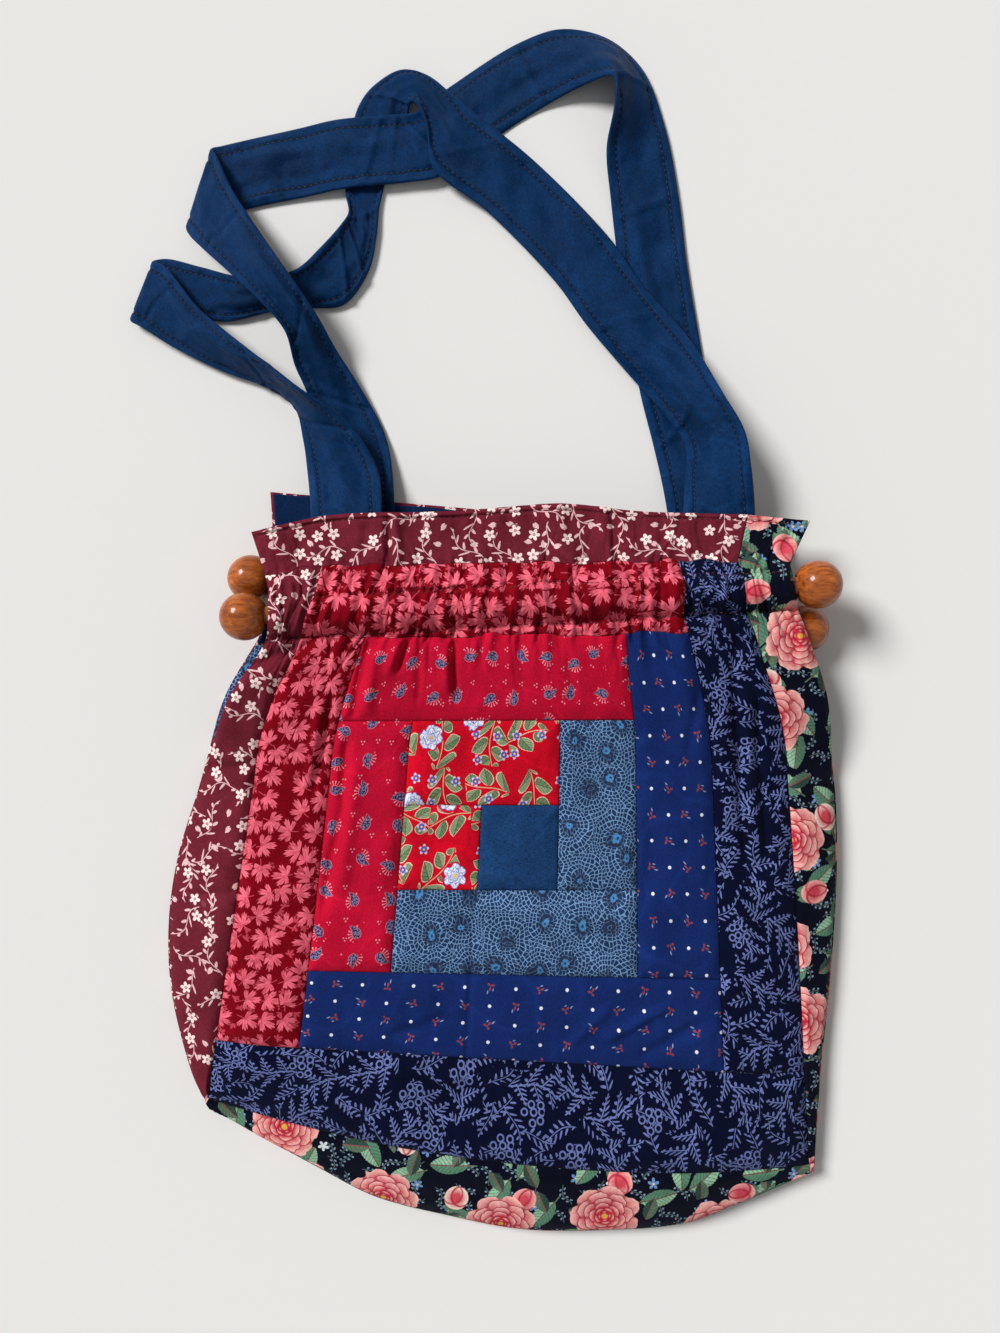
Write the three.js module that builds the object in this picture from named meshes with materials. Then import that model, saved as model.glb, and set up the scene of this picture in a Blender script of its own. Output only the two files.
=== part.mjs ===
// Quilted dowel bag lying on its back panel, the straps laid loose beyond the mouth.
// Millimetres, +Z up from the floor, +Y toward the straps, origin on the floor under the middle of the block.
import * as THREE from 'three';
import { mergeVertices } from 'three/addons/utils/BufferGeometryUtils.js';

// Patchwork block: logs counted from the centre square, so a round lies between whole steps plus a half.
const logWidth = 45.5;
const blockLift = 4;
const taper = 0.03;
const casingGather = 0.13;
const leanPerLog = 1.6;
const leanStart = -1.5;
const hemTilt = 0.42;
const hemSag = 10;
const hemBow = 1.06;
const casingTake = 8;
const seamGap = 0.4;

// Quilted cloth.
const quiltThick = 4;
const seamThick = 1.4;
const foldCount = 9;
const foldRise = 2.2;
const clothThick = 1.2;
const liningThick = 0.8;
const layerGap = 0.5;

// Bag body.
const seamHeight = 8;
const bodyCrown = 20;
const frontEdgeRun = 50;
const backEdgeRun = 30;
const sewnTop = 45;
const backRoll = 1.5;
const facingStart = 2.2;
const liningInset = 11;
const liningClear = 1.1;
const liningSlack = 0.8;

// Rods and balls.
const rodDiameter = 9.5;
const rodClear = 0.8;
const rodSpan = 302;
const ballDiameter = 25.4;
const ballBoreDepth = 14;
const boreClear = 0.3;
const ballFloorGap = 0.3;
const casingHalf = 14;
const mouthGap = 6;
const frontRodMid = new THREE.Vector2(4.6, 135.7);
const frontRodTurn = 3.2;
const backRodMid = new THREE.Vector2(3.6, 135.2);
const backRodTurn = -5.2;
const headerReach = 46;
const headerDroop = 4.5;
const backHeaderHeight = 6;

// Straps.
const strapWidth = 38;
const strapThick = 2.2;
const strapLapGap = 0.6;
const floorLift = 0.75;
const stepsPerStation = 2;

const rodRadius = rodDiameter / 2;
const ballRadius = ballDiameter / 2;
const backAxis = ballRadius + ballFloorGap;
const casingRise = rodRadius + rodClear;
const frontAxis = backAxis + 2 * (casingRise + clothThick) + mouthGap;
const casingEnd = rodSpan / 2 - ballRadius - 1.6;
const boreRadius = rodRadius + boreClear;
const ballMouth = Math.sqrt(ballRadius ** 2 - (boreRadius + 0.8) ** 2);
const rodLength = rodSpan + 2 * (ballBoreDepth - ballMouth - boreClear);

const smooth = (from, to, value) => THREE.MathUtils.smoothstep(value, from, to);
const mix = THREE.MathUtils.lerp;
const point2 = (x, y) => new THREE.Vector2(x, y);

// Place in plan of a point of the block, (i, j) in logs, inside the third round.
function blockSpot(i, j, rowLean) {
  const below = Math.max(0, -2.5 - j);
  const above = Math.max(0, j - 2.5);
  const spread = 1 - taper * Math.max(-1, Math.min(j + 2.5, 6)) - casingGather * smooth(1, 3.2, j);
  const x = leanStart + leanPerLog * j + i * logWidth * spread;
  const tilt = j < 0 ? hemTilt * j * j * i : 0;
  const level = blockLift + logWidth * j - hemSag * below + hemBow * i * i * below - casingTake * above;
  return point2(x, level - tilt + rowLean * x * smooth(0.5, 3, j));
}

// Distance in plan from a rod, positive toward the header.
function fromRod(x, y, middle, turn) {
  const angle = THREE.MathUtils.degToRad(turn);
  return (y - middle.y) * Math.cos(angle) - (x - middle.x) * Math.sin(angle);
}

// A point along a rod in plan.
function alongRod(distance, middle, turn) {
  const angle = THREE.MathUtils.degToRad(turn);
  return point2(middle.x + distance * Math.cos(angle), middle.y + distance * Math.sin(angle));
}

// Half the height between the two cloths of a casing.
function casingHalfHeight(distance) {
  const reach = Math.min(1, Math.abs(distance) / casingHalf);
  return casingRise * (1 - smooth(0.3, 1, reach));
}

const frontLeftEnd = alongRod(-casingEnd, frontRodMid, frontRodTurn);
const frontRightEnd = alongRod(casingEnd, frontRodMid, frontRodTurn);
const backLeftEnd = alongRod(-casingEnd, backRodMid, backRodTurn);
const backRightEnd = alongRod(casingEnd, backRodMid, backRodTurn);

// Outline of the bag: the sewn sides and hem are shared, the slits, casings and headers are each panel's own.
const hemLeft = point2(-170.5, -139);
const hemRight = point2(159.5, -174.5);
const sewnLeft = [point2(-180, -119), point2(-190, -79), point2(-192, -42), point2(-187, -4), point2(-174, 39)];
const sewnRight = [point2(163, -120), point2(168, -70), point2(171.5, -12), point2(170, 39)];
const hem = [
  point2(-145, -154), point2(-114, -170.5), point2(-80, -188), point2(-42, -198),
  point2(0, -206), point2(45, -206.5), point2(88, -203), point2(121, -191),
];
const frontSides = {
  left: [point2(-156, 83), point2(-138, 109), frontLeftEnd, point2(-136, 153)],
  right: [point2(163, 83), point2(150, 119), frontRightEnd, point2(141.5, 161)],
  top: [point2(-143, 172), point2(-101, 181), point2(-38, 183), point2(20, 187), point2(64, 183),
    point2(120, 181), point2(152, 178)],
};
const backSides = {
  left: [point2(-164, 83), point2(-142, 120), backLeftEnd, point2(-136, 172)],
  right: [point2(163, 83), point2(148, 102), backRightEnd, point2(145, 145)],
  top: [point2(-138, 197), point2(-90, 193), point2(-20, 187), point2(60, 178), point2(120, 171),
    point2(148, 168)],
};

// Points pushed outward from the middle of the bag.
function rolled(points, distance) {
  return points.map((p) => p.clone().addScaledVector(p.clone().normalize(), distance));
}

// One panel: its outline as four curves, the inner face of its quilted cloth and its side of the bag.
function makePanel(sides, roll, rowLean) {
  const corners = rolled([hemLeft, hemRight], roll);
  const topLeft = sides.top[0];
  const topRight = sides.top[sides.top.length - 1];
  return {
    rowLean,
    left: new THREE.SplineCurve([corners[0], ...rolled(sewnLeft, roll), ...sides.left, topLeft]),
    right: new THREE.SplineCurve([corners[1], ...rolled(sewnRight, roll), ...sides.right, topRight]),
    top: new THREE.SplineCurve(sides.top),
    bottom: new THREE.SplineCurve([corners[0], ...rolled(hem, roll), corners[1]]),
  };
}
const front = makePanel(frontSides, 0, 0.012);
const back = makePanel(backSides, backRoll, -0.085);

// Share of a side's length that a row of the block reaches.
const shareSide = (row) => mix(0.012, 0.925, (row + 3.5) / 7);

// Place in plan of any point of a panel: the block inside, a strip ruled out to the outline round it.
function spot(panel, i, j) {
  const shareUp = (value) => (value + 4.5) / 9;
  const shareHem = (value) => mix(0.03, 0.97, (value + 3.5) / 7);
  const inI = Math.max(-3.5, Math.min(3.5, i));
  const inJ = Math.max(-3.5, Math.min(3.5, j));
  const out = Math.abs(i) - 3.5;
  const up = Math.abs(j) - 3.5;
  const inner = blockSpot(inI, inJ, panel.rowLean);
  const side = (i < 0 ? panel.left : panel.right).getPointAt(shareSide(inJ));
  const end = j < 0 ? panel.bottom.getPointAt(shareHem(inI)) : panel.top.getPointAt(shareUp(inI));
  if (out <= 0 && up <= 0) return inner;
  if (up <= 0) return inner.lerp(side, out);
  if (out <= 0) return inner.lerp(end, up);
  const corner = (i < 0 ? panel.left : panel.right).getPointAt(j < 0 ? 0 : 1);
  return inner.lerp(side, out).lerp(end.lerp(corner, out), up);
}

const sewnEdge = [];
for (const curve of [front.left, front.right, front.bottom]) {
  for (const p of curve.getSpacedPoints(90)) {
    if (p.y < sewnTop) sewnEdge.push(p);
  }
}

// Share of the crown reached at a distance in from the sewn edge.
function domeShare(x, y, run) {
  let nearest = Infinity;
  for (const p of sewnEdge) nearest = Math.min(nearest, Math.hypot(p.x - x, p.y - y));
  return Math.sin(Math.min(1, nearest / run) * Math.PI / 2);
}

// Middle height between front cloth and front facing, along the way over the rod.
function frontMiddle(distance) {
  const casingLow = frontAxis - 3;
  const body = mix(bodyCrown, casingLow, smooth(-95, -casingHalf, distance));
  if (distance < 0) return body + (frontAxis - casingLow) * smooth(-casingHalf, 0, distance);
  return frontAxis - headerDroop * smooth(0, headerReach, distance);
}

// Middle height between back cloth and back facing, along the way under the rod.
function backMiddle(distance) {
  const body = mix(quiltThick + layerGap / 2, backAxis, smooth(-75, 0, distance));
  return distance < 0 ? body : mix(backAxis, backHeaderHeight, smooth(0, headerReach, distance));
}

// Inner face of the front cloth.
function frontInner(x, y) {
  const distance = fromRod(x, y, frontRodMid, frontRodTurn);
  const crown = frontMiddle(distance) + casingHalfHeight(distance) + layerGap / 2;
  return mix(seamHeight + 0.2, crown, domeShare(x, y, frontEdgeRun));
}

// Inner face of the back cloth.
function backInner(x, y) {
  const distance = fromRod(x, y, backRodMid, backRodTurn);
  const crown = backMiddle(distance) - casingHalfHeight(distance) - layerGap / 2;
  return mix(seamHeight - 0.2, crown, domeShare(x, y, backEdgeRun));
}

// Underside of the front facing.
function frontFacingUnder(x, y) {
  const distance = fromRod(x, y, frontRodMid, frontRodTurn);
  return frontMiddle(distance) - casingHalfHeight(distance) - layerGap / 2 - clothThick;
}

// Top of the back facing.
function backFacingTop(x, y) {
  const distance = fromRod(x, y, backRodMid, backRodTurn);
  return backMiddle(distance) + casingHalfHeight(distance) + layerGap / 2 + clothThick;
}

// A slab of cloth: a box with the given stations each way, its points then carried to their places.
function slab(stationsI, stationsJ, place) {
  const cellsI = stationsI.length - 1;
  const cellsJ = stationsJ.length - 1;
  const box = new THREE.BoxGeometry(1, 1, 1, cellsI, cellsJ, 1);
  box.deleteAttribute('normal');
  box.deleteAttribute('uv');
  const geometry = mergeVertices(box, 1e-5);
  const index = geometry.index;
  // The underside's squares are cut along the same diagonals as the top's, so the cloth keeps its thickness.
  for (let n = index.count - cellsI * cellsJ * 6; n < index.count; n += 6) {
    index.setX(n + 2, index.getX(n + 4));
    index.setX(n + 3, index.getX(n));
  }
  const position = geometry.attributes.position;
  for (let n = 0; n < position.count; n += 1) {
    const i = stationsI[Math.round((position.getX(n) + 0.5) * cellsI)];
    const j = stationsJ[Math.round((position.getY(n) + 0.5) * cellsJ)];
    const placed = place(i, j, position.getZ(n) > 0);
    position.setXYZ(n, placed.x, placed.y, placed.z);
  }
  geometry.computeVertexNormals();
  return geometry;
}

// Stations from one edge to another at whole steps, the edges drawn in by half a seam gap.
function stations(from, to, stepAt) {
  const inset = seamGap / 2 / logWidth;
  const list = [from];
  let next = from + stepAt(from);
  while (next < to - 0.01) {
    list.push(next);
    next += stepAt(next);
  }
  list.push(to);
  list[0] += inset;
  list[list.length - 1] -= inset;
  return list;
}

// Gathers: folds that run out from the casing into the header and down into the body.
function gather(i, j) {
  const reach = smooth(0.5, 2.4, j) * (1 - 0.35 * smooth(3.6, 4.5, j));
  const wander = 0.5 * Math.sin(1.7 * i) + 0.15 * j;
  return foldRise * reach * (0.5 + 0.5 * Math.sin((i / 9) * foldCount * 2 * Math.PI + wander));
}

// One quilted patch: thin at its seams, full between them.
function patch(isFront, i0, i1, j0, j1, stepI, stepJ) {
  const panel = isFront ? front : back;
  return slab(stations(i0, i1, stepI), stations(j0, j1, stepJ), (i, j, isTop) => {
    const place = spot(panel, i, j);
    const inset = Math.min(i - i0, i1 - i, j - j0, j1 - j);
    const fold = isFront ? gather(i, j) : 0;
    const thin = mix(quiltThick, quiltThick * 0.6, smooth(2.2, 2.8, j));
    const thick = mix(seamThick, thin, smooth(0, 0.24, inset)) + fold;
    if (isFront) {
      const inner = frontInner(place.x, place.y);
      return new THREE.Vector3(place.x, place.y, isTop ? inner + thick : inner);
    }
    const inner = backInner(place.x, place.y);
    return new THREE.Vector3(place.x, place.y, isTop ? inner : inner - thick);
  });
}

// Facing of a header and casing, a little inside the outline.
function facing(isFront) {
  const panel = isFront ? front : back;
  const columns = [-4.44, -3.95, -3.5, -1.75, 0, 1.75, 3.5, 3.95, 4.44];
  const rows = stations(facingStart, 4.46, () => 0.18);
  return slab(columns, rows, (i, j, isTop) => {
    const place = spot(panel, i, j);
    const under = isFront
      ? frontFacingUnder(place.x, place.y)
      : backFacingTop(place.x, place.y) - clothThick;
    return new THREE.Vector3(place.x, place.y, isTop ? under + clothThick : under);
  });
}

// Lining from the facing to the hem: a sheet stretched between the panel's sides, drawn in from the seams.
function lining(isFront) {
  const panel = isFront ? front : back;
  const jTop = facingStart - 3 * seamGap / logWidth;
  const columns = [0, 0.08, 0.2, 0.35, 0.5, 0.65, 0.8, 0.92, 1];
  const rows = [0, 0.06, 0.14, 0.26, 0.4, 0.53, 0.64, 0.73, 0.8, 0.87, 0.94, 1];
  return slab(columns, rows, (u, v, isTop) => {
    const left = panel.left.getPointAt(v * shareSide(jTop));
    const right = panel.right.getPointAt(v * shareSide(jTop));
    const low = panel.bottom.getPointAt(u);
    const high = spot(panel, mix(-4.5, 4.5, u), jTop);
    const cross = left.clone().lerp(right, u);
    const along = low.clone().lerp(high, v);
    const lowMid = panel.bottom.getPointAt(0).lerp(panel.bottom.getPointAt(1), u);
    const highMid = spot(panel, -4.5, jTop).lerp(spot(panel, 4.5, jTop), u);
    const place = cross.add(along).sub(lowMid.lerp(highMid, v));
    place.x += liningInset * mix(1, -1, u);
    place.y += liningInset * 1.5 * (1 - v);
    if (isFront) {
      const slack = liningSlack * (1 - domeShare(place.x, place.y, frontEdgeRun));
      const top = frontInner(place.x, place.y) - liningClear - slack;
      return new THREE.Vector3(place.x, place.y, isTop ? top : top - liningThick);
    }
    const slack = liningSlack * (1 - domeShare(place.x, place.y, backEdgeRun));
    const under = backInner(place.x, place.y) + liningClear + slack / 2;
    return new THREE.Vector3(place.x, place.y, isTop ? under + liningThick : under);
  });
}

// Turned solid with its axis along X, moved to a place on a rod.
function onRod(profile, sides, middle, turn, distance, height, facingBack) {
  const geometry = new THREE.LatheGeometry(profile, sides);
  geometry.rotateZ(facingBack ? Math.PI / 2 : -Math.PI / 2);
  geometry.rotateZ(THREE.MathUtils.degToRad(turn));
  const place = alongRod(distance, middle, turn);
  geometry.translate(place.x, place.y, height);
  return geometry;
}

// Dowel profile with eased ends.
function rodProfile() {
  const half = rodLength / 2;
  const ease = 0.8;
  return [
    point2(0, -half), point2(rodRadius - ease, -half), point2(rodRadius, -half + ease),
    point2(rodRadius, half - ease), point2(rodRadius - ease, half), point2(0, half),
  ];
}

// Ball profile: a blind bore from below, a small flat round it and a round outside.
function ballProfile() {
  const boreEnd = ballBoreDepth - ballMouth;
  const list = [point2(0, boreEnd), point2(boreRadius, boreEnd), point2(boreRadius, -ballMouth)];
  const start = Math.asin(-ballMouth / ballRadius);
  const count = 8;
  for (let n = 0; n < count; n += 1) {
    const angle = mix(start, Math.PI / 2, n / count);
    list.push(point2(ballRadius * Math.cos(angle), ballRadius * Math.sin(angle)));
  }
  list.push(point2(0, ballRadius));
  return list;
}

// Strap stations: left edge x, y, right edge x, y, in plan, and the two heights in strap thicknesses.
// A last value of 1 marks a crease, where the strap keeps its slanting edge as given.
const frontRoute = [
  [-115, 207, -80, 209, 5.4, 6.4], [-120, 226, -94, 233, 2.2, 8, 1],
  [-125.5, 246, -119.5, 249, 1.4, 12.5, 1], [-143, 256.5, -135.5, 261.5, 1.4, 11.5, 1],
  [-163.5, 263.5, -155, 277.5, 1.6, 9.5, 1], [-190, 276, -175.5, 296, 2.2, 6, 1],
  [-208, 287, -195, 320, 3, 3.4, 1], [-215, 291.5, -202, 324.5, 1.9, 2.1, 1],
  [-209, 293.5, -196, 326.5, 0.75, 0.85, 1], [-186, 294, -176, 321, 0.75, 2, 1],
  [-161, 292, -152, 313, 1, 5.5, 1], [-138, 297, -135, 313.5, 1, 6, 1], [-117, 299, -122, 317, 1, 6, 1],
  [-98, 301, -110, 329, 1, 5, 1], [-84.5, 319, -99, 342, 1, 4.4, 1], [-80, 338, -95, 351, 1, 2.6, 1],
  [-78, 357, -97, 362, 0.85, 0.95, 1], [-72, 378, -97.5, 380, 0.75, 0.75, 1],
  [-65, 394, -94, 398, 0.75, 0.75, 1], [-62.5, 402.5, -89.5, 412, 0.9, 0.75, 1],
  [-61.5, 408.5, -82, 422, 2.2, 0.8, 1], [-59.5, 410, -66.5, 430.5, 3.6, 1.2, 1],
  [-56.5, 407, -52, 426.5, 4.4, 2.2, 1], [-52, 396.5, -37, 414, 4.4, 3.3, 1],
  [-48, 374, -26, 404, 4.1, 3.7], [-18, 352, 6, 380, 1.9, 1.9], [19, 314, 47, 338, 1.6, 2.2],
  [38, 291, 65, 309, 2.3, 2.5], [62, 265, 88, 276, 2.6, 5.4], [82, 239, 103, 244, 3.6, 13.6],
  [94, 222, 113, 224, 4.4, 13], [95, 203, 114, 205, 7.3, 13.2],
];
const backRoute = [
  [-110, 214, -72, 217, 1.9, 1.9], [-113, 227, -78, 233, 0.9, 0.9], [-118, 251, -90, 257, 1.2, 2.2, 1],
  [-124, 266, -100.5, 273, 4, 5, 1], [-127.5, 281.5, -109.5, 289, 8.2, 9.2, 1],
  [-137.5, 293.5, -123.5, 309.5, 11, 11.4, 1], [-157.5, 313, -142, 336.5, 9, 9, 1],
  [-173, 328, -157.5, 361, 5.6, 5.6, 1], [-181.5, 337, -167, 381, 3.4, 3.4, 1],
  [-184, 342, -170, 386.5, 2.1, 2.1, 1], [-180, 345, -166, 389, 0.75, 0.75, 1],
  [-150, 353, -151, 394, 0.75, 0.75], [-119, 359, -122, 400, 1.2, 1.2], [-97, 364, -102, 402, 2.3, 2.3],
  [-66, 370, -71, 402, 2.3, 2.3], [-45, 373, -57, 404, 2.4, 2.4], [-25, 390, -38, 419, 0.75, 0.75],
  [13, 410, -1, 447, 0.9, 0.75], [34, 419, 23, 453, 4.5, 0.9], [49, 417, 47, 448, 10, 0.9],
  [51, 405, 66, 430, 9, 0.9], [49, 385, 77, 399, 4.5, 0.9], [51, 359, 86, 360, 1.4, 0.75],
  [55, 327, 90, 327, 0.75, 0.75], [61, 288, 96, 290, 0.75, 0.75], [67, 252, 103, 255, 0.75, 0.75],
  [73, 223, 111, 228, 1.2, 1.2], [78, 198, 116, 203, 2.7, 2.7],
];
// Ends lapped on the facings: left edge x, y, right edge x, y, outer end first.
const frontLaps = [
  [[-112, 155, -75, 155], [-112, 170, -75, 170], [-112, 184, -75, 184]],
  [[89, 184, 121, 184], [88, 173, 121, 173], [88, 162, 121, 163]],
];
const backLaps = [
  [[-107, 166, -70, 166], [-107, 180, -70, 180], [-107, 195, -70, 193]],
  [[81, 176, 119, 172], [82, 163, 120, 163], [83, 151, 121, 151]],
];

// Height of a strap lapped against the inside of a facing.
function lapHeight(isFront, x, y) {
  const half = strapThick / 2 + strapLapGap;
  return isFront ? frontFacingUnder(x, y) - half : backFacingTop(x, y) + half;
}

// Edge points of a station, moved to the strap's width unless they lie on a crease.
function edges(station) {
  const [lx, ly, rx, ry, lz, rz, crease] = station;
  const left = new THREE.Vector3(lx, ly, lz);
  const right = new THREE.Vector3(rx, ry, rz);
  if (crease) return [left, right];
  const middle = left.clone().add(right).multiplyScalar(0.5);
  const half = right.clone().sub(left).setLength(strapWidth / 2);
  const lift = Math.max(0, floorLift * strapThick - middle.z + Math.abs(half.z));
  middle.z += lift;
  return [middle.clone().sub(half), middle.clone().add(half)];
}

// Flat band through its stations.
function strap(isFront) {
  const lapped = (row) => {
    return [...row, lapHeight(isFront, row[0], row[1]), lapHeight(isFront, row[2], row[3])];
  };
  const raised = (row) => [...row.slice(0, 4), row[4] * strapThick, row[5] * strapThick, row[6]];
  const laps = isFront ? frontLaps : backLaps;
  const route = isFront ? frontRoute : backRoute;
  const list = [...laps[0].map(lapped), ...route.map(raised), ...laps[1].map(lapped)].map(edges);
  const leftEdge = new THREE.CatmullRomCurve3(list.map((pair) => pair[0]));
  const rightEdge = new THREE.CatmullRomCurve3(list.map((pair) => pair[1]));
  const count = (list.length - 1) * stepsPerStation;
  const along = Array.from({ length: count + 1 }, (_, n) => n / count);
  return slab([0, 1], along, (s, t, isTop) => {
    const left = leftEdge.getPoint(t);
    const right = rightEdge.getPoint(t);
    const across = right.clone().sub(left).normalize();
    const travel = leftEdge.getTangent(t).add(rightEdge.getTangent(t));
    const normal = across.cross(travel).setLength(strapThick / 2);
    const place = left.lerp(right, s).addScaledVector(normal, isTop ? 1 : -1);
    place.z = Math.max(place.z, ballFloorGap);
    return place;
  });
}

const cloth = (colour) => new THREE.MeshStandardMaterial({ color: colour, roughness: 0.9, metalness: 0 });
const navySolid = cloth('#163355');
const floralRed = cloth('#b01525');
const crackleBlue = cloth('#2f5a80');
const paisleyRed = cloth('#9c1b33');
const dotNavy = cloth('#27366b');
const leafRed = cloth('#8a1a2c');
const fernNavy = cloth('#20253f');
const vineBurgundy = cloth('#6a2433');
const roseNavy = cloth('#121a30');
const wood = new THREE.MeshStandardMaterial({ color: '#6a3a1a', roughness: 0.3, metalness: 0 });

const bag = new THREE.Group();
bag.name = 'quilted_dowel_bag';

function add(name, geometry, material) {
  const mesh = new THREE.Mesh(geometry, material);
  mesh.name = name;
  bag.add(mesh);
}

// Steps between stations: fine where the cloth is gathered over a rod, wide where it lies flat.
const quarter = () => 0.25;
const half = () => 0.5;
const side = (from) => (from < 1 ? 0.5 : from < 2.45 ? 0.25 : 1 / 6);
const narrow = (from) => (Math.abs(from * 2 - Math.round(from * 2)) < 0.01 ? 0.25 : 0.5);
const gathered = (isFront) => (isFront ? quarter : half);
const casing = () => 1 / 6;

for (const [isFront, name] of [[true, 'front'], [false, 'back']]) {
  const wide = gathered(isFront);
  const log = (kind, place, material, box, stepI, stepJ) => {
    add(`${name}_${kind}_${place}`, patch(isFront, ...box, stepI, stepJ), material);
  };
  log('center', 'square', navySolid, [-0.5, 0.5, -0.5, 0.5], quarter, quarter);
  log('floral', 'left', floralRed, [-1.5, -0.5, -0.5, 0.5], narrow, quarter);
  log('floral', 'top', floralRed, [-1.5, 0.5, 0.5, 1.5], half, quarter);
  log('crackle', 'right', crackleBlue, [0.5, 1.5, -0.5, 1.5], narrow, side);
  log('crackle', 'bottom', crackleBlue, [-1.5, 1.5, -1.5, -0.5], half, narrow);
  log('paisley', 'left', paisleyRed, [-2.5, -1.5, -1.5, 1.5], narrow, side);
  log('paisley', 'top', paisleyRed, [-2.5, 1.5, 1.5, 2.5], wide, quarter);
  log('dot', 'right', dotNavy, [1.5, 2.5, -1.5, 2.5], narrow, side);
  log('dot', 'bottom', dotNavy, [-2.5, 2.5, -2.5, -1.5], half, narrow);
  log('leaf', 'left', leafRed, [-3.5, -2.5, -2.5, 2.5], narrow, side);
  log('leaf', 'top', leafRed, [-3.5, 2.5, 2.5, 3.5], wide, casing);
  log('fern', 'right', fernNavy, [2.5, 3.5, -2.5, 3.5], narrow, side);
  log('fern', 'bottom', fernNavy, [-3.5, 3.5, -3.5, -2.5], half, narrow);
  log('vine', 'left', vineBurgundy, [-4.5, -3.5, -3.5, 3.5], half, side);
  log('vine', 'top', vineBurgundy, [-4.5, 3.5, 3.5, 4.5], wide, quarter);
  log('rose', 'right', roseNavy, [3.5, 4.5, -3.5, 4.5], half, side);
  log('rose', 'bottom', roseNavy, [-4.5, 4.5, -4.5, -3.5], half, half);
  add(`${name}_facing`, facing(isFront), navySolid);
  add(`${name}_lining`, lining(isFront), crackleBlue);
  const middle = isFront ? frontRodMid : backRodMid;
  const turn = isFront ? frontRodTurn : backRodTurn;
  const axis = isFront ? frontAxis : backAxis;
  add(`${name}_rod`, onRod(rodProfile(), 16, middle, turn, 0, axis, false), wood);
  add(`${name}_ball_left`, onRod(ballProfile(), 12, middle, turn, -rodSpan / 2, axis, true), wood);
  add(`${name}_ball_right`, onRod(ballProfile(), 12, middle, turn, rodSpan / 2, axis, false), wood);
  add(`${name}_strap`, strap(isFront), navySolid);
}

export default bag;
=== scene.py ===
import math
import bpy
import numpy as np
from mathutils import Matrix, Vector


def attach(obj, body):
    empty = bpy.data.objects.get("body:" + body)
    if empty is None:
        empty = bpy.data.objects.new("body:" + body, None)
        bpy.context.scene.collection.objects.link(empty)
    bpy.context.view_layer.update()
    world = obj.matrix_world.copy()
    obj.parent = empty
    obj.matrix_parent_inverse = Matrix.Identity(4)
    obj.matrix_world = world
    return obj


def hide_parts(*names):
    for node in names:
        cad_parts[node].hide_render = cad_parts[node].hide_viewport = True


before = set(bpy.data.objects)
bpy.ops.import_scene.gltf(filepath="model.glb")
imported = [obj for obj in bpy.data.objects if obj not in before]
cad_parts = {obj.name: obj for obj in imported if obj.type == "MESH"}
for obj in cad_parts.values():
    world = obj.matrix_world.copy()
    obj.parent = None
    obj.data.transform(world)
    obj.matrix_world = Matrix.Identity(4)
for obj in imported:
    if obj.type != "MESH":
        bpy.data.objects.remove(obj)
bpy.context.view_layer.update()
print("frame loaded")

mm = 0.001
fullTurn = 6.283
thirdTurn = 2.0944


def smooth(low, high, value):
    t = np.clip((value - low) / (high - low), 0, 1)
    return t * t * (3 - 2 * t)


def mix(a, b, t):
    return a + (b - a) * t


def between(value, rise, risen, fall, fallen):
    return smooth(rise, risen, value) * (1 - smooth(fall, fallen, value))


def bell(value, width):
    return np.exp(-(value / width) ** 2)


def unit(v):
    return v / np.maximum(1e-9, np.linalg.norm(v, axis=-1, keepdims=True))


def runAlong(line):  # distance along a row of points
    return np.concatenate([[0], np.cumsum(np.linalg.norm(np.diff(line, axis=0), axis=1))])


def hashed(a, b, seed):
    n = np.sin(a * 127.1 + b * 311.7 + seed * 74.7) * 43758.5453
    return n - np.floor(n)


def noise(x, y, seed):  # smooth random field, -0.5 to 0.5
    ix, iy = np.floor(x), np.floor(y)
    fx, fy = x - ix, y - iy
    fx = fx ** 3 * (fx * (fx * 6 - 15) + 10)
    fy = fy ** 3 * (fy * (fy * 6 - 15) + 10)
    low = mix(hashed(ix, iy, seed), hashed(ix + 1, iy, seed), fx)
    high = mix(hashed(ix, iy + 1, seed), hashed(ix + 1, iy + 1, seed), fx)
    return mix(low, high, fy) - 0.5


block = dict(
    log=45.5, lift=4, taper=0.03, gather=0.13, lean=1.6, leanStart=-1.5, hemTilt=0.42, hemSag=10, hemBow=1.06,
    casingTake=8, ring=2.5, taperRows=(-1, 6), gatherRows=(1, 3.2), leanRows=(0.5, 3),
)
blockHalf, panelHalf = 3.5, 4.5  # in logs from the centre


def blockSpot(i, j, rowLean):  # plan place of a point of the patchwork block, in logs from its centre
    ring = block["ring"]
    below, above = np.maximum(0, -ring - j), np.maximum(0, j - ring)
    spread = 1 - block["taper"] * np.clip(j + ring, *block["taperRows"])
    spread = spread - block["gather"] * smooth(*block["gatherRows"], j)
    x = block["leanStart"] + block["lean"] * j + i * block["log"] * spread
    tilt = np.where(j < 0, block["hemTilt"] * j * j * i, 0)
    level = block["lift"] + block["log"] * j - block["hemSag"] * below
    level = level + block["hemBow"] * i * i * below - block["casingTake"] * above
    return np.stack([x, level - tilt + rowLean * x * smooth(*block["leanRows"], j)], -1)


rods = dict(
    span=302, ball=25.4, ballGap=1.6, diameter=9.5, clear=0.8, casingHalf=14, casingFlat=0.3, reach=46,
    droop=4.5, backHeader=6, cloth=1.2, gap=0.5,
    front=dict(mid=(4.6, 135.7), turn=3.2, axis=32.5), back=dict(mid=(3.6, 135.2), turn=-5.2, axis=13.0),
)
casingRise = rods["diameter"] / 2 + rods["clear"]
casingEnd = rods["span"] / 2 - rods["ball"] / 2 - rods["ballGap"]


def rodWay(side):
    angle = math.radians(rods[side]["turn"])
    return math.cos(angle), math.sin(angle)


def alongRod(distance, side):
    (x, y), (c, s) = rods[side]["mid"], rodWay(side)
    return x + distance * c, y + distance * s


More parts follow.
